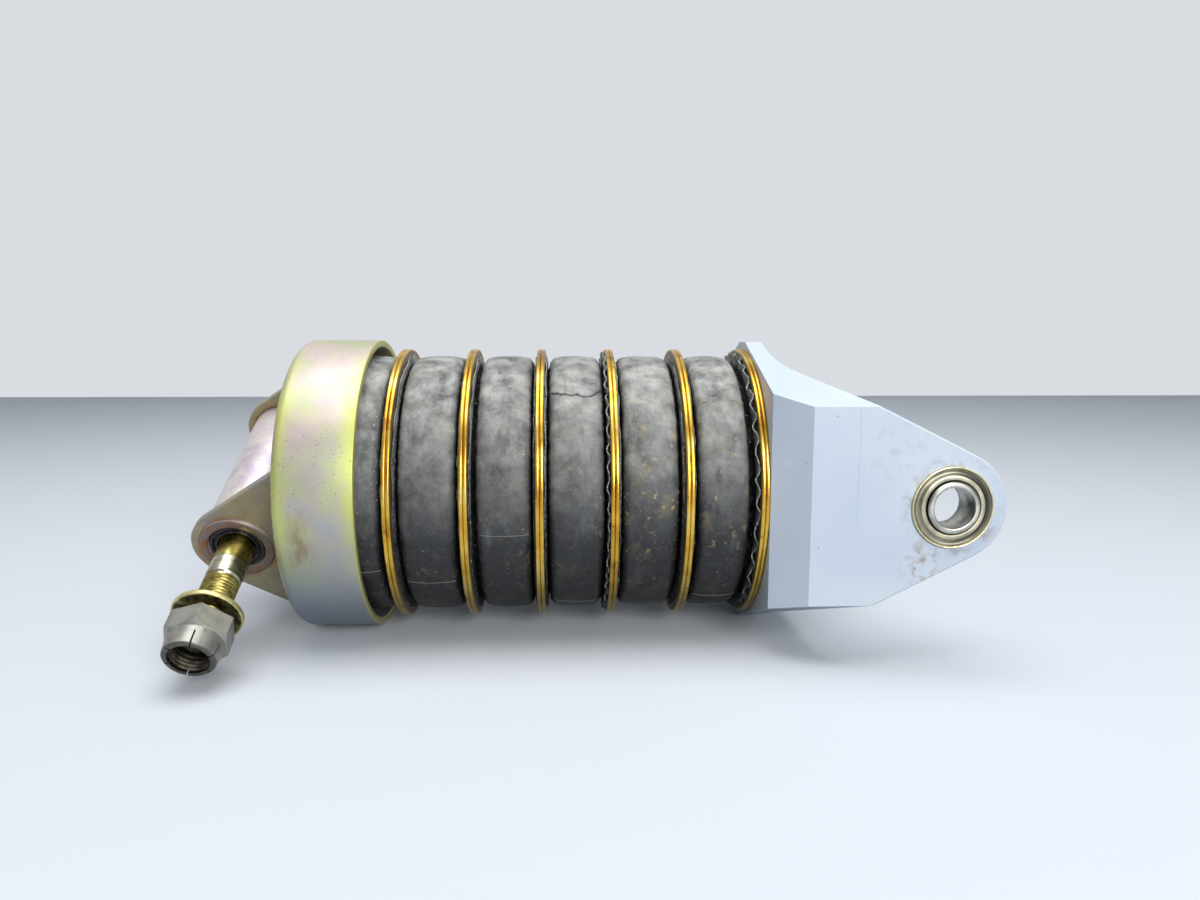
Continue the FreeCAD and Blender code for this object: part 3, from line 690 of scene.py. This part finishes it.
def washer_chromate():
    """A pale yellow rim round a face that grease has darkened."""
    material, tree, shader, place = start_finish("greasy_olive_washer", "bolt_olive", 0.85, 0.4)
    off = along_and_off(tree, place, bolt_centre, bolt_axis)[1]
    rim, cloud = drifting(tree, place, 2.5, [(0.35, "#B9B06C"), (0.6, "#D6CF96")])
    greasy = [(0.4, "#2E2A1C"), (0.52, "#625A38"), (0.64, "#857C52")]
    face = add(tree, "ValToRGB", {"stops": greasy}, {0: cloud}).outputs[0]
    inside = between(tree, off, 0, washer_radius - 0.5, 0.2)
    colour = over(tree, inside, rim, face)
    tree.links.new(colour, shader.inputs["Base Color"])
    grained(tree, shader, place, 0.4, 0.015)
    return material


def oily_seal():
    """Black seal rubber, wet with oil, with grit in its folds."""
    material, tree, shader, place = start_finish("oily_seal_rubber", "moulded_rubber", 0.0, 0.34)
    grit = patches(tree, place, 1.2, 0.58, 0.68, detail=5)
    colour = over(tree, both(tree, grit, 0.6), "#101011", "#6A6350")
    tree.links.new(colour, shader.inputs["Base Color"])
    hazed(tree, shader, grit, 0.3, 0.6)
    set_bump(tree, shader, grit, 0.08)
    return material


shank_steel = worn_shank()
nut_plating = nut_cadmium()
washer_olive = washer_chromate()
seal_rubber = oily_seal()
print("steels, bronze and seal rubber")

# %% [markdown]
# Each rubber disc bulges a little and has a deep groove beside each plate. A plain ring
# would miss the black gaps that part rubber from gold. So a crowned outline is turned, and
# its skin is moved by smooth noise: shallow waves on the crown, bites out of the foot. A
# hair-thin ridge marks where the two halves of the mould met.

# %% Shape of a rubber disc
skin_steps = 540
rod_radius = 12.7
waist_drop = 0.9
shoulder_drop = 1.2
foot_reach = 0.7
mould_line_height = {1: -31, 2: -38, 3: -13.5, 4: -58, 5: -64, 6: -52}


def disc_outline(left, right, left_groove, right_groove):
    """The crowned outline of a disc: a foot, a deep groove and a round shoulder at each plate."""
    crown = []
    low, high = left + left_groove, right - right_groove
    for step in range(17):
        across = 2 * step / 16 - 1
        drop = waist_drop * across ** 2 + 1.7 * abs(across) ** 14
        crown.append((low + (high - low) * step / 16, rubber_radius - drop))
    foot = rubber_radius - 1.6
    start = [
        (left, rod_radius + 2), (left, foot), (left + foot_reach, foot - 0.4),
        (left + 1.0, foot - 3.4), (low - 0.25, foot - 2.8),
    ]
    end = [
        (high + 0.25, foot - 2.8), (right - 1.0, foot - 3.4),
        (right - foot_reach, foot - 0.4), (right, foot), (right, rod_radius + 2),
    ]
    return start + crown + end


def ragged(point, seed, size):
    """A repeatable value from -1 to 1 that varies over a size in millimetres."""
    return noise.noise(point / (size * MM) + Vector((seed * 7.3, seed * 1.7, seed * 3.1)))


def mould_line(outline, height_deg):
    """A hair-thin ridge across the crown of a disc, where the two halves of its mould met."""
    crown = [point for point in outline if point[1] > rubber_radius - shoulder_drop]
    ridge = bmesh.new()
    points = [ridge.verts.new((x * MM, 0, (r + 0.03) * MM)) for x, r in crown]
    edges = [ridge.edges.new(pair) for pair in zip(points, points[1:])]
    width = 0.3 / rubber_radius
    bmesh.ops.spin(ridge, geom=points + edges, axis=(1, 0, 0), cent=(0, 0, 0), angle=width, steps=2)
    for vert in ridge.verts:
        if abs(math.atan2(-vert.co.y, vert.co.z) - width / 2) < width / 4:
            vert.co.yz = vert.co.yz * (1 + 0.16 / rubber_radius)
    bmesh.ops.recalc_face_normals(ridge, faces=ridge.faces)
    if sum(face.normal.z for face in ridge.faces) < 0:
        bmesh.ops.reverse_faces(ridge, faces=ridge.faces)
    return laid(ridge, Matrix.Rotation(math.radians(90 - height_deg), 4, "X"))


def roughen_disc(shape, number, left, right):
    """Moves the skin of a disc: shallow waves, and a foot that is bitten and torn."""
    for vert in shape.verts:
        radius = vert.co.yz.length
        if radius < (rubber_radius - 6) * MM:
            continue
        x = vert.co.x / MM
        change = 0.14 * ragged(vert.co, number, 14) + 0.06 * ragged(vert.co, number + 10, 4)
        if min(x - left, right - x) < foot_reach + 0.05:
            change += 0.9 * ragged(vert.co, number + 20, 1.3) + 0.5 * ragged(vert.co, number + 30, 5)
        elif radius < (rubber_radius - shoulder_drop) * MM:
            change += 0.5 * ragged(vert.co, number + 15, 1.8)
            vert.co.x += 0.25 * ragged(vert.co, number + 25, 2.2) * MM
        vert.co.yz = vert.co.yz * (1 + change * MM / radius)


# %% [markdown]
# Flash is the thin fin of rubber that squeezed out beside a plate in the mould. On two
# discs it is tall and waves to and fro. Bump can't stand up from a surface, so each fin is
# turned as a thin ring of its own and bent by a sine with noise, torn along its edge.


# %% Flash lips
def flash_lip(x, towards, seed, reach, wave, waves_round, steps=1080):
    """A thin fin of rubber that stands beside a plate and waves to and fro, torn along its edge."""
    foot = rubber_radius - 4
    lip = spun([
        (x, foot), (x, foot + reach), (x + 0.32 * towards, foot + reach), (x + 0.5 * towards, foot),
    ], steps)
    for vert in lip.verts:
        level = Vector((0, vert.co.y, vert.co.z))
        radius = level.length
        raised = max(0.0, (radius / MM - foot) / reach)
        turn = math.atan2(level.z, level.y) * waves_round + 2.2 * ragged(level, seed + 60, 12)
        strength = 0.65 + 0.35 * ragged(level, seed + 65, 20)
        torn = 0.7 * ragged(level, seed + 40, 0.9) + 0.6 * ragged(level, seed + 50, 3.5)
        vert.co.yz = vert.co.yz * (1 + raised * torn * MM / radius)
        bent = 0.5 + 0.5 * math.sin(turn) + 0.3 * ragged(level, seed + 70, 2.5)
        vert.co.x += towards * raised * wave * strength * max(0.0, bent) * MM
    return lip


def joined(shapes):
    """Several bmeshes as one."""
    first = shapes[0]
    for other in shapes[1:]:
        carrier = bpy.data.meshes.new("carrier")
        other.to_mesh(carrier)
        first.from_mesh(carrier)
        bpy.data.meshes.remove(carrier)
        other.free()
    return first


def pale_edges(mesh, skin_count, ridge_count, lip_paleness):
    """Marks the mould line and the lips' outer edges, which the rubber's finish paints paler."""
    paler = mesh.attributes.new("paler", "FLOAT", "POINT")
    for index, vert in enumerate(mesh.vertices):
        on_ridge = skin_count <= index < skin_count + ridge_count
        on_lip = index >= skin_count + ridge_count and vert.co.yz.length > (rubber_radius + 0.2) * MM
        paler.data[index].value = 0.45 if on_ridge else (lip_paleness if on_lip else 0.0)


print("lips ready")

# %% [markdown]
# When the stack shortens, a disc's two plates move by different amounts. Swapping shapes per
# pose would be a second model. Instead each disc rides with its fork-side plate.

# %% Rubber discs
# The groove beside each plate, and the lip in it: its wave in mm, and the waves round the disc.
grooves = {1: (1.8, 1.6), 2: (1.6, 1.5), 3: (2.3, 1.5), 4: (1.6, 1.9), 5: (1.5, 1.9), 6: (1.7, 3.0)}
lip_waves = {4: (1.3, 46), 6: (2.3, 34)}

for number in disc_numbers:
    node = f"rubber_disc_{number}"
    left, right = span(node)
    outline = disc_outline(left, right, *grooves[number])
    skin = spun(outline, skin_steps)
    skin_count = len(skin.verts)
    ridge = mould_line(outline, mould_line_height[number])
    ridge_count = len(ridge.verts)
    skin = joined([skin, ridge])
    roughen_disc(skin, number, left, right)
    wave, waves_round = lip_waves.get(number, (0.5, 23))
    lips = [
        flash_lip(left + 0.05, 1, number, 3.6, 0.6, 17),
        flash_lip(right - 0.05, -1, number + 6, 5.0 if number in lip_waves else 3.6, wave, waves_round),
    ]
    disc = finished(
        f"disc_{number}_rubber", joined([skin] + lips),
        cracked_rubber if number == 4 else rubber,
        "fork" if number == 6 else f"plates_{number}", 50,
    )
    pale_edges(disc.data, skin_count, ridge_count, 0.7 if number in lip_waves else 0.12)
    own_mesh(disc)
    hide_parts(node)

# %% [markdown]
# The bonded plates are thin steel discs. Two lie face to face between the rubber discs. A
# single thick plate with a painted line would look flat, so both are made, and their
# rounded edges leave the dark line that runs round each golden band.


# %% Bonded plates
def plate(node, body):
    left, right = span(node)
    hole = rod_radius + 0.4
    outline = [(left, hole), (left, plate_radius), (right, plate_radius), (right, hole)]
    shape = soften(spun(outline, 256), 0.42, 3)
    piece = finished(node + "_gold", shape, gold_plating, body)
    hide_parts(node)


plate("cup_backing_plate", "cup_plates")
for number in disc_numbers:
    plate(f"disc_{number}_cup_plate", "cup_plates" if number == 1 else f"plates_{number - 1}")
    plate(f"disc_{number}_fork_plate", "fork" if number == 6 else f"plates_{number}")
plate("fork_backing_plate", "fork")

# %% [markdown]
# The cup is pressed from sheet: a large round corner at its back, a small worn radius at
# its rim. A thickened open surface could make it, but the wall is known, so a closed
# outline is turned and the back corner gets a wide bevel of its own.

# %% Cup
cup_wall = 2.4
cup_corner = 3
rod_spigot = 9.545


def pressed_cup():
    inner = cup_radius - cup_wall
    outline = [
        (cup_back, rod_spigot), (cup_back, cup_radius), (cup_rim, cup_radius), (cup_rim, inner),
        (cup_back + cup_wall, inner), (cup_back + cup_wall, rod_spigot),
    ]
    shape = spun(outline, 256)
    near = 0.01
    at_back = [v for v in shape.verts if abs(v.co.x / MM - cup_back) < near]
    on_corner = {v for v in at_back if v.co.yz.length / MM > cup_radius - near}
    corner = [e for e in shape.edges if on_corner.issuperset(e.verts)]
    bmesh.ops.bevel(
        shape, geom=corner, offset=cup_corner * MM, affect="EDGES", segments=8, profile=0.5, material=-1,
    )
    return soften(shape, 0.45, 3, 40)


cup = finished("cup_pressed", pressed_cup(), cup_plating, "cup", 40)
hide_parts("cup_shell")

# %% [markdown]
# The fork bracket and ears are flat-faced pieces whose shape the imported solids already
# have. Modelling them again could only drift from it. So a copy has its triangles joined
# into whole faces and every sharp edge rounded, since a machinist breaks each edge and
# paint softens it. Normals are weighted by face, so that flat faces shade flat.

# %% Fork bracket and ears
fork_shape = soften(packed_copy("fork_bracket"), 0.35, 2)
fork = finished("fork_bracket_enamelled", fork_shape, enamel, "fork", flat_faces=True)
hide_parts("fork_bracket")
for end in ("front", "rear"):
    ear_shape = soften(packed_copy(f"ear_{end}"), 0.4, 2)
    ear = finished(f"ear_{end}_plated", ear_shape, ear_plating, "cup", flat_faces=True)
    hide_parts(f"ear_{end}")

# %% [markdown]
# The bolt and nut have a fine thread, 20 turns to the inch. A bump pattern fails at the
# silhouette, and stacked rings aren't a thread. One ridge profile is spun with a lift per
# turn, and it sinks into the core at both ends as a cut thread does.


# %% A screw thread
def thread(start, end, root, crest, pitch=1.27, per_turn=40):
    """A helical ridge about X between two places, which fades out at both ends."""
    shape = bmesh.new()
    flank = pitch * 0.42
    profile = [(start, root), (start + flank, crest), (start + pitch * 0.58, crest), (start + pitch, root)]
    points = [shape.verts.new((x * MM, 0, r * MM)) for x, r in profile]
    edges = [shape.edges.new(pair) for pair in zip(points, points[1:])]
    turns = (end - start) / pitch - 1
    steps = round(turns * per_turn)
    bmesh.ops.spin(
        shape, geom=points + edges, axis=(1, 0, 0), cent=(0, 0, 0),
        dvec=(pitch / per_turn * MM, 0, 0), angle=2 * math.pi * steps / per_turn, steps=steps,
    )
    bmesh.ops.remove_doubles(shape, verts=shape.verts, dist=1e-6)
    for vert in shape.verts:
        edge_gap = min(vert.co.x / MM - start, end - vert.co.x / MM)
        radius = vert.co.yz.length / MM
        fade = max(0.0, 1 - edge_gap / pitch)
        vert.co.yz = vert.co.yz * ((radius + (root - radius) * fade) / radius)
    bmesh.ops.recalc_face_normals(shape, faces=shape.faces)
    return shape


print("thread helper ready")

# %% [markdown]
# The cross tube is lined with bronze bushes, and a rubber seal with a folded lip keeps
# dirt out round the bolt. Each is a ring, so one function turns them all to the packed
# sizes. The seal gets its own folded outline, because its dark folds show in the mouth.


# %% Cross tube, bushes and dust seals
def ring_on_bolt(name, node, material, body, inner, width=0.4, steps=160):
    """A rounded ring in place of a packed ring on the bolt's axis."""
    low, high = span_on_bolt(node)
    side = bolt_axis.cross(Vector((1, 0, 0))).normalized()
    outer = max(abs((v.co - bolt_centre).dot(side)) for v in frame["nodes"][node].data.vertices) / MM
    shape = soften(spun([(low, inner), (low, outer), (high, outer), (high, inner)], steps), width)
    piece = finished(name, laid(shape, on_bolt), material, body)
    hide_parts(node)
    return piece


def lipped_seal(end):
    """A rubber dust seal with a rounded outer bead and a lip that rubs on the bolt."""
    low, high = span_on_bolt(f"dust_seal_{end}")
    face, back, towards = (high, low, 1) if end == "front" else (low, high, -1)
    outline = [
        (back, 6.2), (back, 8.9), (face - 0.5 * towards, 8.9), (face, 8.5), (face, 7.9),
        (face - 0.9 * towards, 7.5), (face - 0.9 * towards, 7.1), (face - 0.1 * towards, 6.8),
        (face - 0.1 * towards, 6.35), (face - 1.0 * towards, 5.95),
    ]
    shape = soften(spun(outline, 160), 0.12, 2)
    for vert in shape.verts:
        radius = vert.co.yz.length
        change = 0.16 * ragged(vert.co, 90, 2.5) + 0.1 * ragged(vert.co, 91, 0.8)
        vert.co.yz = vert.co.yz * (1 + change * MM / radius)
    piece = finished(f"dust_seal_{end}_rubber", laid(shape, on_bolt), seal_rubber, "cup", 50)
    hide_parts(f"dust_seal_{end}")


shank_radius = 5.555
tube_bore_radius = 9.1
bolt_hole = shank_radius + 0.05
ring_on_bolt("cross_tube_plated", "cross_tube", tube_plating, "cup", tube_bore_radius, 0.5)
for end in ("front", "rear"):
    ring_on_bolt(f"tube_bush_{end}_bronze", f"tube_bush_{end}", bronze, "cup", bolt_hole, 0.4)
    lipped_seal(end)
for place in ("head", "nut"):
    washer = f"bolt_{place}_washer"
    ring_on_bolt(washer + "_olive", washer, washer_olive, f"{place}_washer", bolt_hole, 0.3)

# %% [markdown]
# The clevis bolt has a hexagon head behind, a plain shank worn bright where it turned in
# the bushes, and a fine thread. One mesh with three materials could do, but the parts need
# different detail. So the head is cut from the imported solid, which keeps its flats, and
# the shank and thread are turned. All three ride on the bolt.

# %% Clevis bolt
thread_root = 4.95


def bolt_head():
    """The hexagon head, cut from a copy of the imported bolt."""
    head = laid(packed_copy("clevis_bolt"), on_bolt.inverted())
    bmesh.ops.bisect_plane(
        head, geom=head.verts[:] + head.edges[:] + head.faces[:],
        plane_co=(head_seat * MM, 0, 0), plane_no=(1, 0, 0), clear_outer=True,
    )
    bmesh.ops.holes_fill(head, edges=[e for e in head.edges if e.is_boundary])
    bmesh.ops.recalc_face_normals(head, faces=head.faces)
    return soften(head, 0.25, 2)


shank = soften(spun([
    (head_seat, 0), (head_seat, shank_radius), (thread_start - 0.4, shank_radius),
    (thread_start, shank_radius - 0.4), (thread_start + 0.5, thread_root),
    (bolt_high - 0.8, thread_root), (bolt_high, thread_root - 0.7), (bolt_high, 0),
], 96, closed=False), 0.15, 2)
head_piece = finished("clevis_bolt_head", laid(bolt_head(), on_bolt), head_olive, "bolt")
shank_piece = finished("clevis_bolt_shank", laid(shank, on_bolt), shank_steel, "bolt")
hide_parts("clevis_bolt")
bolt_thread = thread(thread_start - 0.6, bolt_high - 0.3, thread_root, shank_radius - 0.1)
finished("clevis_bolt_thread", laid(bolt_thread, on_bolt), thread_steel, "bolt", 60)
print("bolt from", round(head_seat, 1), "to", round(bolt_high, 1), "mm")

# %% [markdown]
# The lock nut's collar is slit into fingers that grip the thread. Its flats, taper and
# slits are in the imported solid, so a softened copy keeps them, and a short thread is added
# inside the collar's mouth, where the eye looks straight in.

# %% Lock nut
nut_shape = soften(packed_copy("lock_nut"), 0.18, 2, 25)
nut = finished("lock_nut_plated", nut_shape, nut_plating, "nut", flat_faces=True)
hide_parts("lock_nut")
nut_thread = thread(nut_high - 5.3, nut_high - 0.5, 5.85, 5.45)
finished("lock_nut_thread", laid(nut_thread, on_bolt), shaded_nut_thread, "nut", 60)

# %% [markdown]
# Each lug carries a spherical bearing: a ring staked into the lug, with a round groove in
# its face, and a ball that turns in it. A boolean of a sphere and a cylinder leaves an
# uneven mesh. Outlines whose round stretches come from the circle's formula turn cleanly,
# and leave a thin gap between ring and ball; its darkness is painted shade in their finish.


# %% Spherical bearings
def sphere_points(radius, low, high, steps=10):
    """Points of a sphere's outline between two places along its axis."""
    places = [low + (high - low) * step / steps for step in range(steps + 1)]
    return [(place, math.sqrt(radius ** 2 - place ** 2)) for place in places]


def race_shape(half_width, outer, bore):
    """The ring, about its own middle: spherical inside, a round groove in each face."""
    face = []
    for step in range(9):
        turn = math.pi * step / 8
        face.append((half_width - 0.95 * math.sin(turn), 11.1 - 1.1 * math.cos(turn)))
    right = sphere_points(bore, -half_width, half_width) + face + [(half_width, outer)]
    left = [(-half_width, outer)] + [(-x, r) for x, r in reversed(face)]
    return spun(right + left, 160)


def ball_shape(half_width, radius, bore):
    """The ball, flat on both sides, about its own middle."""
    round_side = sphere_points(radius, -half_width, half_width, 16)
    return spun(round_side + [(half_width, bore), (-half_width, bore)], 128)


race_radius = 12.7
bore_radius = 6.35
ball_gap = 0.05

for side, end in ((-1, "front"), (1, "rear")):
    low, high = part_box(f"bearing_race_{end}")
    ball_low, ball_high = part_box(f"bearing_ball_{end}")
    middle = (low[1] + high[1]) / 2
    at_lug = Matrix.Translation((0, middle, 0)) @ Matrix.Rotation(side * math.pi / 2, 4, "Z")
    race = soften(race_shape(race_half_width, race_radius, ball_radius + ball_gap), 0.25, 2)
    piece = finished(f"bearing_race_{end}_ground", laid(race, at_lug), race_steel, "fork")
    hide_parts(f"bearing_race_{end}")
    ball = soften(ball_shape((ball_high[1] - ball_low[1]) / 2 / MM, ball_radius, bore_radius), 0.3, 2)
    piece = finished(f"bearing_ball_{end}_polished", laid(ball, at_lug), ball_steel, f"ball_{end}")
    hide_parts(f"bearing_ball_{end}")

# %% [markdown]
# The guide rod, its washer, castle nut, split pin and bush are mostly hidden inside the
# fork, but they show from behind and when the strut is squeezed. New models would be
# wasted there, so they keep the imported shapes, with the larger edges rounded.

# %% Guide rod and its fasteners
hidden = {
    "guide_rod": (turned_steel, "cup", 0.3),
    "rod_washer": (dull_cadmium, "cup", 0.0),
    "rod_nut": (dull_cadmium, "cup", 0.3),
    "split_pin": (turned_steel, "cup", 0.0),
    "guide_bush": (bronze, "fork", 0.0),
}
for node, (material, body, edge) in hidden.items():
    shape = packed_copy(node)
    if edge:
        shape = soften(shape, edge, 2, 25)
    piece = finished(node + "_dressed", shape, material, body)
    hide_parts(node)

# %% [markdown]
# The strut lies on a pale floor before a pale wall. A closed white box would flood it with
# bounced light and wash out the dark rubber. So both planes look pale to the camera and in
# reflections, but are darker to diffuse rays; the wall glows wherever a ray isn't diffuse.


# %% Floor, backdrop and world
def stage_material(name, colour, bounce, glow=False):
    """A matte surface, pale to the camera and in gloss, that throws less light back at the part."""
    material = bpy.data.materials.new(name)
    material.use_nodes = True
    tree = material.node_tree
    tree.nodes.clear()
    output = tree.nodes.new("ShaderNodeOutputMaterial")
    bounced = add(tree, "LightPath").outputs["Is Diffuse Ray"]
    shown = over(tree, bounced, linear(colour), linear(bounce))
    matte = add(tree, "BsdfDiffuse", None, {"Color": shown})
    if glow:
        plain = add(tree, "Emission", None, {"Color": linear(colour), "Strength": 1.0})
        matte = add(tree, "MixShader", None, {0: bounced, 1: plain.outputs[0], 2: matte.outputs[0]})
    tree.links.new(matte.outputs[0], output.inputs[0])
    return material


def stage_plane(name, size, matrix, material):
    shape = bmesh.new()
    bmesh.ops.create_grid(shape, x_segments=1, y_segments=1, size=size)
    mesh = bpy.data.meshes.new(name)
    laid(shape, matrix).to_mesh(mesh)
    shape.free()
    mesh.materials.append(material)
    plane = bpy.data.objects.new(name, mesh)
    bpy.context.scene.collection.objects.link(plane)
    return plane


floor_height = min(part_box("cup_shell")[0][2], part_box("fork_bracket")[0][2]) - 0.0001
floor_finish = stage_material("pale_floor", "#C9CED5", "#6C7178")
stage_plane("floor", 3.0, Matrix.Translation((0, 0, floor_height)), floor_finish)
wall_finish = stage_material("pale_wall", "#D9DDE2", "#A9AEB6", True)
wall_turn = Matrix.Rotation(math.pi / 2, 4, "X")
stage_plane("backdrop", 3.0, Matrix.Translation((0, 1.3, 0)) @ wall_turn, wall_finish)

world = bpy.data.worlds.new("studio")
bpy.context.scene.world = world
world.use_nodes = True
sky = world.node_tree
towards = add(sky, "TexCoord").outputs["Generated"]
upward = add(sky, "SeparateXYZ", None, {0: towards}).outputs["Z"]
dome_tone = [(0.0, "#8E9196"), (0.35, "#C9CDD2"), (0.8, "#FAFBFC")]
dome = add(sky, "ValToRGB", {"stops": dome_tone}, {0: upward}).outputs[0]
sky.links.new(dome, sky.nodes["Background"].inputs["Color"])
sky.nodes["Background"].inputs["Strength"].default_value = 0.6
print("floor at", round(floor_height / MM, 2), "mm")

# %% [markdown]
# A large disc of light overhead and one in front act as soft boxes. A sun or a small lamp
# would give hard shadows and burnt highlights on the plating. The camera's place and lens
# follow a close view at bench height, slightly above the strut.


# %% Lights and camera
def soft_light(name, place, target, size, power):
    lamp = bpy.data.lights.new(name, "AREA")
    lamp.shape = "DISK"
    lamp.size = size
    lamp.energy = power
    holder = bpy.data.objects.new(name, lamp)
    holder.location = place
    holder.rotation_euler = (Vector(target) - Vector(place)).to_track_quat("-Z", "Y").to_euler()
    bpy.context.scene.collection.objects.link(holder)


strut_middle = (-0.12, 0.0, 0.0)
soft_light("overhead", (-0.15, -0.1, 0.95), strut_middle, 0.9, 8.0)
soft_light("front_fill", (0.3, -1.15, 0.42), strut_middle, 0.6, 12.5)

lens = bpy.data.cameras.new("camera")
lens.sensor_width = 36.0
lens.lens = 25.24
lens.clip_start = 0.01
camera = bpy.data.objects.new("camera", lens)
camera.location = (-0.1195, -0.3052, 0.0499)
right = Vector((0.99899, -0.04501, 0.00118)).normalized()
forward = Vector((0.04480, 0.99100, -0.12614)).normalized()
up = right.cross(forward)
camera.rotation_euler = Matrix((right, up, -forward)).transposed().to_euler()
bpy.context.scene.collection.objects.link(camera)
bpy.context.scene.camera = camera
bpy.context.scene.view_settings.view_transform = "Standard"
print("camera and", len(bpy.data.lights), "lights")
